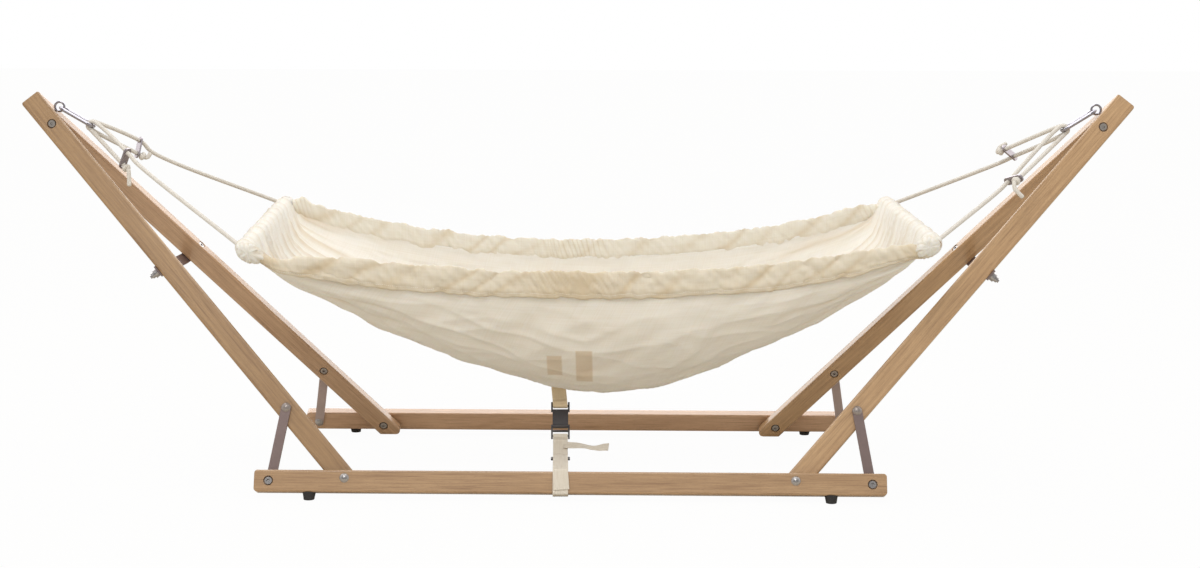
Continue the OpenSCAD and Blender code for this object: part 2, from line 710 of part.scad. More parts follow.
// Gathered cloth tube round a spreader bar
function casing_ring(y, r, folds) = [for (k = [0:casing_sides - 1])
    let (a = 360*k/casing_sides, f = r + folds*sin(3*a + 5*y))
    [f*cos(a), y, f*sin(a)]];
module casing(x) {
    n = casing_sides;
    m = casing_steps;
    half = bar_len/2 + 2;
    bore = bar_d/2 + 0.3;
    outer = [for (j = [0:m]) casing_ring(half*(2*j/m - 1), casing_r + 0.4, 0.8)];
    inner = [for (j = [0:m]) casing_ring(half*(2*j/m - 1), bore/cos(180/n), 0)];
    inner_from = n*(m + 1);
    color(cloth) at_bar(x) polyhedron(
        points = [for (ring = concat(outer, inner)) for (p = ring) p],
        faces = [for (j = [0:m - 1]) for (i = [0:n - 1])
            let (k = (i + 1) % n, a = j*n, b = (j + 1)*n, c = inner_from + a, d = inner_from + b)
            each concat(
                [[a + i, b + k, b + i], [a + i, a + k, b + k],
                 [c + i, d + i, d + k], [c + i, d + k, c + k]],
                j == 0 ? [[a + i, c + i, c + k], [a + i, c + k, a + k]] : [],
                j == m - 1 ? [[b + i, b + k, d + k], [b + i, d + k, d + i]] : []
            )]
    );
}

// Bed: a thin trough, closed at its edges
module bed() {
    n = bed_cuts + 1;
    m = bed_steps + 1;
    all = m*n;
    grid = [for (in = [0, cloth_t]) for (j = [0:m - 1]) for (i = [0:n - 1])
        bed_point(sin(180*j/(m - 1) - 90), 2*i/(n - 1) - 1, in)];
    quad = function (a, b, c, d) [[a, b, c], [a, c, d]];
    color(cloth) polyhedron(points = grid, faces = concat(
        [for (j = [0:m - 2]) for (i = [0:n - 2]) let (a = j*n + i)
            each concat(
                quad(a, a + n, a + n + 1, a + 1),
                quad(all + a, all + a + 1, all + a + n + 1, all + a + n))],
        [for (j = [0:m - 2]) each concat(
            quad(j*n, all + j*n, all + (j + 1)*n, (j + 1)*n),
            quad(j*n + n - 1, (j + 1)*n + n - 1, all + (j + 1)*n + n - 1, all + j*n + n - 1))],
        [for (i = [0:n - 2]) let (b = (m - 1)*n + i) each concat(
            quad(i, i + 1, all + i + 1, all + i),
            quad(b, all + b, all + b + 1, b + 1))]
    ));
}

// Gathered side band: y is 1 at the back
module band(y) {
    turn = band_steps;
    reach = 1 - (casing_wall + 3)/bed_end;
    color(cloth) loft([for (j = [0:turn]) let (
            s = reach*(2*j/turn - 1),
            g = sin(j*137.5),
            half = band_h/2 + 1.5*sin(j*97),
            thick = band_t/2 + 0.8*g,
            my = y*(edge_half(s) + g*1.2),
            mz = band_mid(s) + rise(s, y*edge_half(s)) + 1.5*sin(j*63))
        [for (k = [0:7]) [along(s, my), my + y*thick*cos(45*k), mz + y*half*sin(45*k)]]]);
}

// Safety strap

module in_strap() {
    translate([strap_x, rail_y, 0]) rotate([0, 0, strap_turn]) translate([0, -rail_y, 0]) children();
}

// The buckle's frame: Z points up along it from the socket's webbing bar
module on_buckle() {
    in_strap() translate([0, socket_top[0], socket_top[1]]) rotate([-buckle_lean, 0, 0]) children();
}
function on_buckle_yz(y, z) = [
    socket_top[0] + y*cos(buckle_lean) + z*sin(buckle_lean),
    socket_top[1] - y*sin(buckle_lean) + z*cos(buckle_lean)
];

module strap_upper() {
    bar = 2 + play + web_t/2;
    color(cloth) in_strap() strip([
        [sewn_at + 15, bed_under(sewn_at + 15)], [sewn_at + 2, bed_under(sewn_at + 2)],
        [sewn_at - 2, bed_under(sewn_at) - 4], on_buckle_yz(bar, 16), on_buckle_yz(bar, 0),
        on_buckle_yz(bar*0.8, -bar), on_buckle_yz(-bar*0.8, -bar),
        on_buckle_yz(-bar, 0), on_buckle_yz(-bar, 8)
    ], web_t);
}

module buckle_socket() {
    top = -8;
    body_len = 28;
    color(black) on_buckle() difference() {
        union() {
            rotate([0, 90, 0]) cylinder(h = buckle_w - frame_w, d = 4, center = true, $fn = 24);
            for (x = [-1, 1])
                translate([x*(buckle_w - frame_w)/2 - frame_w/2, -2.5, -11])
                    cube([frame_w, 5, 17]);
            translate([-buckle_w/2, -2.5, -11]) cube([buckle_w, 5, 3.5]);
            translate([-body_w/2, -buckle_t/2, top - body_len]) cube([body_w, buckle_t, body_len]);
        }
        translate([-body_w/2 + 2, -buckle_t/2 + 1.5, top - body_len - over])
            cube([body_w - 4, buckle_t - 3, body_len - 4 + over]);
        for (x = [-1, 1])
            translate([x*body_w/2 - 3, -buckle_t/2 + 1.5, top - body_len + 8])
                cube([6, buckle_t - 3, 10]);
    }
}

// Plug: three prongs inside the socket and a ladder of two bars below it
module buckle_plug() {
    mouth = -36;
    deep = 18;
    arm_t = buckle_t - 3 - 2*play;
    color(black) on_buckle() {
        for (x = [-1, 0, 1])
            translate([x*(body_w/2 - 4.2) - 1.5, -arm_t/2, mouth - 1]) cube([3, arm_t, deep + 1]);
        for (x = [-1, 1])
            translate([x*(body_w/2 - 1.6) - 1.2, -arm_t/2, mouth + 9]) cube([2.4, arm_t, 6]);
        translate([-buckle_w/2, -buckle_t/2, mouth - 4]) cube([buckle_w, buckle_t, 3.5]);
        for (x = [-1, 1])
            translate([x*(buckle_w - frame_w)/2 - frame_w/2, -2, -plug_bar - 5])
                cube([frame_w, 4, plug_bar + mouth + 3]);
        for (z = [-plug_bar, -plug_bar + 9])
            translate([0, 0, z]) rotate([0, 90, 0])
                cylinder(h = buckle_w - frame_w, d = 3.5, center = true, $fn = 24);
    }
}

// Lower webbing: from the plug through the slider, round the rail and back to the slider,
// with its end folded down in front and the plug's free end held out to the side
module strap_lower() {
    bar = 1.75 + 0.1 + web_t/2;
    y = slider_yz[0];
    z = slider_yz[1];
    half = slider_slot + 1.5*slider_rib;
    slot = (slider_slot + slider_rib)/2;
    under = z - slider_t/2 - 0.1 - web_t/2;
    above = z + slider_t/2 + 0.1 + web_t/2;
    second = above + web_t + 0.1;
    color(cloth) in_strap() {
        strip([
            on_buckle_yz(-bar, -plug_bar + 3), on_buckle_yz(-bar, -plug_bar),
            on_buckle_yz(-bar*0.8, -plug_bar - bar), on_buckle_yz(bar, -plug_bar - bar - 4),
            web_bow[0], web_bow[1], [y + half + 4, under], [y + slot + 1.1, under],
            [y + slot - 1.1, above], [y - slot + 1.1, above], [y - slot - 1.1, under],
            [y - half - 2, under], loop_yz(1, -1, loop_1), loop_yz(1, 1, loop_1),
            loop_yz(-1, 1, loop_1), loop_yz(-1, -1, loop_1), [y - half - 12, second],
            [y - half, second], [y + 3, second]
        ], web_t);
        strip([
            [y + 3, second + web_t + 0.1], [y - half - 12, second + web_t + 0.1],
            loop_yz(-1, -1, loop_2), loop_yz(-1, 1, loop_2),
            loop_yz(1, 1, loop_2) + (loop_yz(-1, 1, loop_2) - loop_yz(1, 1, loop_2))*0.2
        ], web_t);
        translate(tail_root) rotate([tail_lift, 0, 0]) ribbon([
            [8, 0], [8 + 0.4*tail_len, 0], [8 + 0.75*tail_len, -0.12*tail_len],
            [8 + 0.95*tail_len, -0.3*tail_len]
        ], web_t);
    }
}

module strap_slider() {
    long = 2*slider_slot + 3*slider_rib;
    color(black) in_strap()
        translate([-buckle_w/2, slider_yz[0] - long/2, slider_yz[1] - slider_t/2])
            linear_extrude(slider_t) difference() {
                round_rect(buckle_w, long, 2);
                for (y = [slider_rib, slider_slot + 2*slider_rib])
                    translate([frame_w, y]) square([buckle_w - 2*frame_w, slider_slot]);
            }
}

rail(-1);  // rail_front
rail(1);  // rail_back
leg(-1, -1);  // leg_front_left
leg(1, -1);  // leg_front_right
leg(-1, 1);  // leg_back_left
leg(1, 1);  // leg_back_right
brace(-1, -1);  // brace_front_left
brace(1, -1);  // brace_front_right
brace(-1, 1);  // brace_back_left
brace(1, 1);  // brace_back_right
foot(-1, -1);  // foot_front_left
foot(1, -1);  // foot_front_right
foot(-1, 1);  // foot_back_left
foot(1, 1);  // foot_back_right
pivot_bolt(-1, -1);  // pivot_bolt_front_left
pivot_bolt(1, -1);  // pivot_bolt_front_right
pivot_bolt(-1, 1);  // pivot_bolt_back_left
pivot_bolt(1, 1);  // pivot_bolt_back_right
rail_bolt(-1, -1);  // rail_bolt_front_left
rail_bolt(1, -1);  // rail_bolt_front_right
rail_bolt(-1, 1);  // rail_bolt_back_left
rail_bolt(1, 1);  // rail_bolt_back_right
brace_bolt(-1, -1);  // brace_bolt_front_left
brace_bolt(1, -1);  // brace_bolt_front_right
brace_bolt(-1, 1);  // brace_bolt_back_left
brace_bolt(1, 1);  // brace_bolt_back_right
top_bolt(-1);  // top_bolt_left
top_bolt(1);  // top_bolt_right
crossbar(-1);  // crossbar_left
crossbar(1);  // crossbar_right
crossbar_screw(-1, -1);  // crossbar_screw_front_left
crossbar_screw(1, -1);  // crossbar_screw_front_right
crossbar_screw(-1, 1);  // crossbar_screw_back_left
crossbar_screw(1, 1);  // crossbar_screw_back_right
eye_bolt(-1);  // eye_bolt_left
eye_bolt(1);  // eye_bolt_right
hook(-1);  // hook_left
hook(1);  // hook_right
gate(-1);  // gate_left
gate(1);  // gate_right
color(cloth) rope(front_left);  // rope_front_left
color(cloth) rope(front_right);  // rope_front_right
color(cloth) rope(back_left);  // rope_back_left
color(cloth) rope(back_right);  // rope_back_right
runner(front_left, reach_front_left, roll_front_left);  // runner_front_left
runner(front_right, reach_front_right, roll_front_right);  // runner_front_right
runner(back_left, reach_back_left, roll_back_left);  // runner_back_left
runner(back_right, reach_back_right, roll_back_right);  // runner_back_right
spreader_bar(-1, front_left, back_left);  // bar_left
spreader_bar(1, front_right, back_right);  // bar_right
casing(-1);  // casing_left
casing(1);  // casing_right
bed();
band(-1);  // band_front
band(1);  // band_back
strap_upper();
buckle_socket();
buckle_plug();
strap_lower();
strap_slider();
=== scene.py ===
# %% [markdown]
# Baby hammock in a free-standing wooden frame. A cotton bed hangs from two wooden spreader
# bars. Four cords and two snap hooks hold the bars between two leaning pairs of legs, and a
# webbing strap with a buckle ties the bed to the front floor rail. The wood and metal shapes
# come from the packed model; this lesson dresses them, and makes the soft goods.

# %% Load the packed model
import math
import bmesh
import bpy
import numpy as np
from mathutils import Matrix, Vector, noise


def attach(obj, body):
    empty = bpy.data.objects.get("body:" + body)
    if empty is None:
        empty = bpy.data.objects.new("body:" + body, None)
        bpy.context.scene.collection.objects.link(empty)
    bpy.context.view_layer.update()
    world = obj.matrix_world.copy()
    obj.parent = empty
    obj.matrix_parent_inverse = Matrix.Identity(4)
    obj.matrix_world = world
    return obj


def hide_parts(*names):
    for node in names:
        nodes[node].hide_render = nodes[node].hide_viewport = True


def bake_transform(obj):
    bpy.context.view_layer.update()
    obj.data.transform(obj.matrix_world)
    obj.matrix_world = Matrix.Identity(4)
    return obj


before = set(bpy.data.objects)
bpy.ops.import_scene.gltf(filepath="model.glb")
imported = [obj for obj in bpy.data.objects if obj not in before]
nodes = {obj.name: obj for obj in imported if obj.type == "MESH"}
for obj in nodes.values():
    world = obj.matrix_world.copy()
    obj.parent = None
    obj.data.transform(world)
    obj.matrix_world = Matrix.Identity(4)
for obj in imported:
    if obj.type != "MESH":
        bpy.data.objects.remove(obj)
bpy.context.view_layer.update()
MM = 0.001
TURN = 2 * math.pi

# %% [markdown]
# The camera stands a little right of the middle, three and a half metres in front of the
# stand and 77 cm up, with a 60 mm lens. It was worked out from the bolts and corners of the
# stand, so that the picture and the model agree. It comes first, because the cords are
# measured against what the camera sees.

# %% Camera
camera_data = bpy.data.cameras.new("camera")
camera_data.lens = 60
camera_data.sensor_width = 36
camera = bpy.data.objects.new("camera", camera_data)
bpy.context.scene.collection.objects.link(camera)
bpy.context.scene.camera = camera
CAMERA_AT = Vector((0.1125, -3.4189, 0.7628))
YAW, PITCH, ROLL = (math.radians(a) for a in (1.165, 7.418, 0.123))
turn = Matrix.Rotation(YAW, 3, "Z") @ Matrix.Rotation(-PITCH, 3, "X")
right = turn @ Vector((math.cos(ROLL), 0, math.sin(ROLL)))
ahead = turn @ Vector((0, 1, 0))
above = right.cross(ahead)
camera.matrix_world = Matrix((
    (right.x, above.x, -ahead.x, CAMERA_AT.x),
    (right.y, above.y, -ahead.y, CAMERA_AT.y),
    (right.z, above.z, -ahead.z, CAMERA_AT.z),
    (0, 0, 0, 1)))
print("camera looks along", [round(x, 3) for x in ahead])

# %% [markdown]
# The floor is a plain pale sheet. To the camera it is nearly white, as in a product picture,
# but it still takes the soft shadow of the stand. Light comes from one wide lamp above, a
# stronger one high in front, and an even white surround.

# %% Floor and lamps
bpy.context.scene.view_settings.view_transform = "Standard"
LIT_MIDDLE = Vector((0, 0, 0.3))
FLOOR_REACH = 30


def lamp(name, place, size, watts):
    """Square soft lamp at a place, facing the middle of the stand."""
    light = bpy.data.lights.new(name, "AREA")
    light.shape = "SQUARE"
    light.size = size
    light.energy = watts
    made = bpy.data.objects.new(name, light)
    bpy.context.scene.collection.objects.link(made)
    made.location = place
    made.rotation_euler = (LIT_MIDDLE - Vector(place)).to_track_quat("-Z", "Y").to_euler()


lamp("lamp_above", (-0.3, 0.5, 3.2), 2.6, 26)
lamp("lamp_front", (-0.5, -3.0, 3.7), 2.0, 50)
floor_mesh = bpy.data.meshes.new("floor")
floor_mesh.from_pydata([(x * FLOOR_REACH, y * FLOOR_REACH, 0)
                        for x, y in ((-1, -1), (1, -1), (1, 1), (-1, 1))], [], [(0, 1, 2, 3)])
floor = bpy.data.objects.new("floor", floor_mesh)
bpy.context.scene.collection.objects.link(floor)

# %% [markdown]
# A material is a tree of nodes, and most of a pattern is plain arithmetic. The small class
# below wraps one socket, so that a Python expression on it adds the Math nodes.

# %% Sockets that do arithmetic


class Wire:
    """One output of a shader node, which Python arithmetic can be done on."""

    def __init__(self, finish, socket):
        self.finish, self.socket = finish, socket

    def math(self, operation, *values):
        return self.finish.node("Math", {"operation": operation}, dict(enumerate(values)))

    def __add__(self, other): return self.math("ADD", self, other)
    def __sub__(self, other): return self.math("SUBTRACT", self, other)
    def __mul__(self, other): return self.math("MULTIPLY", self, other)
    def __pow__(self, other): return self.math("POWER", self, other)
    def __radd__(self, other): return self.math("ADD", other, self)
    def __rsub__(self, other): return self.math("SUBTRACT", other, self)
    def __rmul__(self, other): return self.math("MULTIPLY", other, self)
    def __gt__(self, other): return self.math("GREATER_THAN", self, other)
    def sin(self): return self.math("SINE", self)
    def abs(self): return self.math("ABSOLUTE", self)
    def low(self, other): return self.math("MINIMUM", self, other)
    def high(self, other): return self.math("MAXIMUM", self, other)


print("a wire can:", [name.strip("_") for name, made in vars(Wire).items() if callable(made)])

# %% [markdown]
# A second class holds the tree while it grows. Any node comes from one method, which takes
# the node's type, its settings and its inputs, and the nodes that are used most have a short
# method each. The last of them is the surface itself, and it ends the material.

# %% Finishes


class Finish:
    """A material, or the surround, while it is being made."""

    def __init__(self, name, kind=bpy.data.materials):
        self.material = kind.new(name)
        self.material.use_nodes = True
        self.tree = self.material.node_tree
        self.tree.nodes.clear()

    def node(self, kind, settings=None, inputs=None, out=0):
        """A node of any type, as the wire from one of its outputs."""
        made = self.tree.nodes.new("ShaderNode" + kind)
        for key, value in (settings or {}).items():
            setattr(made, key, value)
        for key, value in (inputs or {}).items():
            if isinstance(value, Wire):
                self.tree.links.new(value.socket, made.inputs[key])
            else:
                made.inputs[key].default_value = value
        return Wire(self, made.outputs[out] if made.outputs else None)

    def other(self, wire, out):
        """Another output of the node that a wire comes from."""
        return Wire(self, wire.socket.node.outputs[out])

    def place(self):
        """Where a point is on the object, in metres."""
        return self.node("TexCoord", out="Object")

    def parts(self, vector):
        """The X, Y and Z of a vector."""
        first = self.node("SeparateXYZ", None, {0: vector})
        return first, self.other(first, "Y"), self.other(first, "Z")

    def flat(self):
        """Where a point is on the cloth laid flat, in metres: across and along."""
        return self.parts(self.node("UVMap", {"uv_map": "UVMap"}))[:2]

    def along(self, place, direction):
        """How far a place lies in a direction."""
        return self.node("VectorMath", {"operation": "DOT_PRODUCT"},
                         {0: place, 1: tuple(direction)}, out="Value")

    def point(self, x, y, z):
        """A place from its three parts."""
        return self.node("CombineXYZ", None, {0: x, 1: y, 2: z})

    def noise(self, at, scale=1.0, detail=2.0, rough=0.5):
        """Cloudy numbers about 0.5, which change over a distance of 1 / scale."""
        return self.node("TexNoise", None,
                         {"Vector": at, "Scale": scale, "Detail": detail, "Roughness": rough})

    def blend(self, share, first, second, how="MIX"):
        """The first colour where the share is 0, and the second where it is 1."""
        return self.node("Mix", {"data_type": "RGBA", "blend_type": how, "clamp_factor": True},
                         {0: share, 6: first, 7: second}, out=2)

    def bump(self, height, distance, strength=1.0):
        """Fine relief, as a change of the way that the surface faces."""
        return self.node("Bump", None,
                         {"Height": height, "Distance": distance, "Strength": strength})

    def surface(self, **inputs):
        """The Principled shader, with each input named as its socket is, _ for a space."""
        named = {key.replace("_", " "): value for key, value in inputs.items()}
        shader = self.node("BsdfPrincipled", None, named)
        self.node("OutputMaterial", None, {"Surface": shader})
        return self.material


def rgb(red, green, blue):
    """A colour as a shader takes it, from the 0 to 255 values of a screen."""
    return tuple((v / 255 / 12.92) if v <= 10 else ((v / 255 + 0.055) / 1.055) ** 2.4
                 for v in (red, green, blue)) + (1,)


print("cream as a shader takes it:", [round(v, 3) for v in rgb(226, 216, 198)])

# %% [markdown]
# Floor and surround. Rays from the camera meet white. Rays that metal throws back meet white
# too, but darker ones behind the camera, as in a real studio, so that round steel has dark
# and bright parts, and a bright panel high at the back, which makes the wood's upper faces
# pale. The rays that light the object meet a softer grey, so that nothing clips.

# %% Floor and surround finishes
SEEN_WHITE = 1.0
SURROUND_LIGHT = 0.92
SEEN_BEHIND = 0.3
PANEL_LIGHT = 2.1
FLOOR_GLOW = 0.965
WHITE = (1, 1, 1, 1)

ground = Finish("floor_white")
matte = ground.node("BsdfDiffuse", None, {"Color": (0.64, 0.6, 0.52, 1)})
glow = ground.node("Emission", None, {"Color": WHITE, "Strength": SEEN_WHITE})
glow_share = ground.node("LightPath", out="Is Camera Ray") * FLOOR_GLOW
seen = ground.node("MixShader", None, {0: glow_share, 1: matte, 2: glow})
ground.node("OutputMaterial", None, {"Surface": seen})
floor_mesh.materials.append(ground.material)

surround = Finish("surround", bpy.data.worlds)
bpy.context.scene.world = surround.material
ray = dict(zip("XYZ", surround.parts(surround.node("TexCoord", out="Generated"))))


def brightness(axis, start, end, low, high):
    """A brightness that changes softly from low to high over a range of directions."""
    return surround.node("MapRange", {"interpolation_type": "SMOOTHSTEP"},
                         {"Value": ray[axis], "From Min": start, "From Max": end,
                          "To Min": low, "To Max": high})


from_camera = surround.node("LightPath", out="Is Camera Ray")
glossy = surround.other(from_camera, "Is Glossy Ray")
direct = from_camera.high(surround.other(from_camera, "Is Transmission Ray"))
shade = brightness("Y", -0.75, 0.15, SEEN_BEHIND, SEEN_WHITE)
panel = brightness("Z", 0.1, 0.4, 0, 1) * brightness("Y", 0.1, 0.5, 0, PANEL_LIGHT)
strength = ((shade + panel) * glossy + (1.0 - glossy) * SURROUND_LIGHT).high(direct)
sky = surround.node("Background", None, {"Color": WHITE, "Strength": strength})
surround.node("OutputWorld", None, {"Surface": sky})
print("surround:", SURROUND_LIGHT)

# %% [markdown]
# The stand is planed hardwood, light brown, with a thin clear finish that turns pale where
# light grazes it. A plank is cut from a log, so its pattern is a block of growth rings round
# a heart line that runs beside the plank: sawn along, the rings make long arches, and sawn
# across, arcs. Fine fibres and short dark flecks lie along the grain. Round a bolt that is
# sunk in the wood there is a dark ring, where the light doesn't reach.

# %% Wood finish
WOOD_PALE = rgb(188, 152, 110)
WOOD_MID = rgb(172, 135, 94)
WOOD_DARK = rgb(134, 98, 63)
SINK_DARK = rgb(74, 50, 34)
SINK_R = 8.4 * MM
RING = 7.5 * MM
HEART_BELOW = 75 * MM
HEART_SWAY = 35 * MM


def wood(name, along, across, out, seed, tone_and_sheen=(1, 1, 1), sinks=()):
    """Planed wood whose grain runs in the direction along, darker where bolts are sunk in it."""
    f = Finish(name)
    place = f.place()
    u, v, w = (f.along(place, d) for d in (along, across, out))
    # how far a point is from the heart line, which sways and slants beside the plank
    sway = f.noise(f.point(u * 1.7 + seed, v * 2.5, w * 2.5), 1.0, 3.0) - 0.5
    side = v + sway * HEART_SWAY + 6 * MM * math.sin(seed * 5)
    deep = w + HEART_BELOW + 10 * MM * math.cos(seed * 3) + u * 0.012
    heart = (side * side + deep * deep) ** 0.5
    wobble = f.noise(f.point(u * 9 + seed, v * 60, w * 60), 1.0, 2.0) - 0.5
    ring = ((heart * (TURN / RING) + wobble * 1.6 + seed).sin() * 0.5 + 0.5) ** 2.2
    # what lies along the grain is stretched noise: slow along it and quick across it
    fibre = f.noise(f.point(u * 26 + seed, v * 900, w * 900), 1.0, 3.0, 0.65)
    fleck = f.noise(f.point(u * 190, v * 1500, w * 1500 + seed), 1.0, 1.0)
    streak = f.noise(f.point(u * 11, v * 420, w * 420 + seed * 2), 1.0, 2.0)
    patch = f.noise(f.point(u * 5 + seed, v * 34, w * 34), 1.0, 3.0)
    colour = f.blend(patch * 1.5 - 0.25, WOOD_MID, WOOD_PALE)
    for share in (ring * 0.2, (streak - 0.53) * 3.2, (fibre - 0.42) * 1.8, (fleck > 0.65) * 0.35):
        colour = f.blend(share, colour, WOOD_DARK)
    # each piece's own tone; on the back pieces also a painted sheen, paler and bluer, for the
    # light that falls on them
    colour = f.blend(1.0, colour, (*tone_and_sheen, 1), "MULTIPLY")
    for sink in sinks:
        off_u, off_v = u - sink.dot(along), v - sink.dot(across)
        distance = (off_u * off_u + off_v * off_v) ** 0.5
        colour = f.blend((SINK_R - distance) * 1200, colour, SINK_DARK)
    return f.surface(Base_Color=colour, Roughness=0.42 + ring * 0.08 + fibre * 0.12,
                     Normal=f.bump(fibre * 0.6 + ring * 0.5, 0.03 * MM, 0.4),
                     Specular_IOR_Level=0.3, Coat_Weight=1.0, Coat_Roughness=0.28,
                     Coat_IOR=1.62, Sheen_Weight=0.3, Sheen_Roughness=0.3)


print("growth rings are", round(RING / MM, 1), "mm apart")

# %% [markdown]
# Each piece of wood has its own directions for the grain, because a pattern that runs across
# a leg looks wrong at once. Each also has its own tone, as planks do, since they come from
# different logs. The pieces at the back are also painted paler and bluer: a painted sheen
# for the light that falls on them. The bolts that are sunk in a piece are found in the model,
# from the boxes round them.

# %% Wooden pieces
LEAN, RAKE = math.radians(21.5), math.radians(49)
SKEW = math.radians(2.1)
SLOPE = {-1: math.radians(3.6), 1: math.radians(2.2)}
CORNERS = {"front_left": (-1, 1), "front_right": (1, 1),
           "back_left": (-1, -1), "back_right": (1, -1)}
# painted light: the paler, bluer tones of the back pieces are a painted sheen
LEG_TONES_AND_SHEEN = {"front_left": (0.84, 0.81, 0.7), "front_right": (1.15, 1.17, 1.16),
             "back_left": (1.14, 1.16, 1.34), "back_right": (1.12, 1.12, 1.12)}
RAIL_TONES_AND_SHEEN = {"front": (0.98, 0.98, 0.98), "back": (1.36, 1.4, 1.72)}


def paint(names, material):
    """Gives CAD nodes a finish."""
    for name in names:
        slots = nodes[name].data.materials
        slots.clear()
        slots.append(material)


def middles(*names):
    """The middles of some nodes, from their boxes."""
    out = []
    for name in names:
        box = [nodes[name].matrix_world @ Vector(corner) for corner in nodes[name].bound_box]
        out.append(sum(box, Vector()) / 8)
    return out


frame_up = Vector((0, math.sin(LEAN), math.cos(LEAN)))
frame_out = Vector((0, -math.cos(LEAN), math.sin(LEAN)))
leg_along = Vector((math.cos(RAKE), 0, 0)) + math.sin(RAKE) * frame_up
leg_across = Vector((-math.sin(RAKE), 0, 0)) + math.cos(RAKE) * frame_up
for count, (place, (x, y)) in enumerate(CORNERS.items()):
    mirrored = [Vector((d.x * x, d.y * y, d.z)) for d in (leg_along, leg_across, frame_out)]
    sunk = middles("pivot_bolt_" + place, "rail_bolt_" + place)
    paint(["leg_" + place],
          wood("wood_leg_" + place, *mirrored, 1.7 + 2.3 * count, LEG_TONES_AND_SHEEN[place], sunk))
for place, y, seed in (("front", 1, 12.4), ("back", -1, 15.1)):
    turned = [Vector((d.x, d.y * y, d.z)) for d in (Vector((1, 0, 0)), frame_up, frame_out)]
    sunk = middles("brace_bolt_" + place + "_left", "brace_bolt_" + place + "_right")
    paint(["rail_" + place], wood("wood_rail_" + place, *turned, seed, RAIL_TONES_AND_SHEEN[place], sunk))
for which, side, seed in (("left", -1, 18.2), ("right", 1, 21.9)):
    bar_along = Vector((-math.sin(SKEW), math.cos(SKEW), math.tan(SLOPE[side]))).normalized()
    bar_across = Vector((math.cos(SKEW), math.sin(SKEW), 0))
    paint(["bar_" + which], wood("wood_bar_" + which, bar_along, bar_across,
                                 bar_along.cross(bar_across), seed))
print("wood finishes:", sum(m.name.startswith("wood") for m in bpy.data.materials))

# %% [markdown]
# The metal is of six kinds: dull brownish steel in the front braces and the crossbars, a paler
# copy of it in the back braces, painted lighter for the light that falls on them, grey bolts
# through the braces, bright zinc bolts and screws elsewhere, polished snap hooks and eye
# bolts, and brushed light-metal rope runners. All metals get their look from what they
# reflect, so the finish is mostly roughness, with a fine brushed or cast relief. A dull coat
# hides a part of the metal.

# %% Metal, rubber and plastic finishes
WORN = 0.72
BRUSHED = (900, 900, 60)


def metal(name, colour, rough, grain=(300, 300, 300), relief=0.03 * MM, dust=0.0, bare=1.0):
    """Metal with fine marks: grain is how close they are along X, Y and Z, dust how strong
    the worn patches are, and bare the share of the metal that no dull coat hides."""
    f = Finish(name)
    place = f.place()
    marks = f.noise(f.point(*(part * close for part, close in zip(f.parts(place), grain))),
                    1.0, 3.0)
    cloudy = f.noise(place, 60.0, 3.0)
    worn = tuple(c * WORN for c in colour[:3]) + (1,)
    return f.surface(Base_Color=f.blend((cloudy - 0.35) * (0.5 + dust), colour, worn),
                     Metallic=bare, Roughness=rough + (marks - 0.5) * 0.25,
                     Normal=f.bump(marks, relief, 0.5))


def moulded(name, colour, rough, grain):
    """Moulded plastic or rubber with a fine sparked texture."""
    f = Finish(name)
    place = f.place()
    fine = f.noise(place, grain, 2.0)
    broad = f.noise(place, 90.0, 2.0)
    paler = tuple(min(1, c * 1.5 + 0.004) for c in colour[:3]) + (1,)
    return f.surface(Base_Color=f.blend(broad * 0.6, colour, paler),
                     Roughness=rough + (fine - 0.5) * 0.2, Normal=f.bump(fine, 0.06 * MM, 0.5))


brace_steel = metal("brace_steel", rgb(140, 122, 118), 0.42, BRUSHED, 0.04 * MM, 0.3, 0.6)
# painted light: the back braces' steel is a paler copy, painted lighter for the light that falls
# on them
lit_back_steel = metal("lit_back_steel", rgb(176, 157, 151), 0.45, BRUSHED, 0.04 * MM, 0.3, 0.2)
dull_steel = metal("dull_steel", rgb(168, 158, 152), 0.4, bare=0.8)
bolt_steel = metal("bolt_steel", rgb(184, 180, 178), 0.34)
hook_steel = metal("hook_steel", rgb(172, 169, 176), 0.2, (120, 120, 120), 0.01 * MM)
runner_metal = metal("runner_metal", rgb(164, 156, 160), 0.36, (500, 500, 500), 0.04 * MM)
buckle_plastic = moulded("buckle_plastic", rgb(44, 38, 40), 0.38, 1500)
foot_rubber = moulded("foot_rubber", rgb(40, 37, 36), 0.6, 900)

# a later finish takes the place of an earlier one, so the bolts come after the braces
every = sorted(nodes)
paint([n for n in every if n.startswith(("brace", "crossbar"))], brace_steel)
paint([n for n in every if n.startswith("brace_back")], lit_back_steel)
paint([n for n in every if "bolt" in n or "screw" in n], bolt_steel)
paint([n for n in every if n.startswith("brace_bolt")], dull_steel)
paint([n for n in every if n.startswith(("hook", "gate", "eye"))], hook_steel)
paint([n for n in every if n.startswith("runner")], runner_metal)
paint([n for n in every if n.startswith("foot")], foot_rubber)
paint([n for n in every if n.startswith(("buckle", "strap_slider"))], buckle_plastic)
print("finishes so far:", len(bpy.data.materials))

# %% [markdown]
# The cloth is undyed cotton in a plain weave, slightly uneven, as the yarn is: thicker and
# thinner threads show as faint lines both ways. The weave reads the cloth's own flat
# measure, so that the threads follow every fold. Cloth lets some light through, so a little
# of the light is scattered inside it. The golden shade deep in its folds is painted: each
# sheet carries a number, named fold, that says how deep in a fold a point is, and the
# colour is mixed that far towards a golden shade. Patches of painted shade lie where
# something inside darkens the cloth in front.

# %% Cloth finish
CLOTH = rgb(237, 232, 223)
CLOTH_SHADE = rgb(224, 214, 195)
# painted shade: the golden colour deep in folds and in the shade patches
CLOTH_GOLDEN_SHADE = rgb(192, 162, 112)
THREAD = 1.1 * MM
FOLD_SHADE_TINT = 0.55
PATCH_SHADE_TINT = 0.45
# each patch of painted shade: from x, to x, from z and to z, where something inside darkens the
# cloth in front
SHADE_PATCHES = ((-0.043, -0.018, 0.175, 0.214), (0.0055, 0.033, 0.164, 0.224))


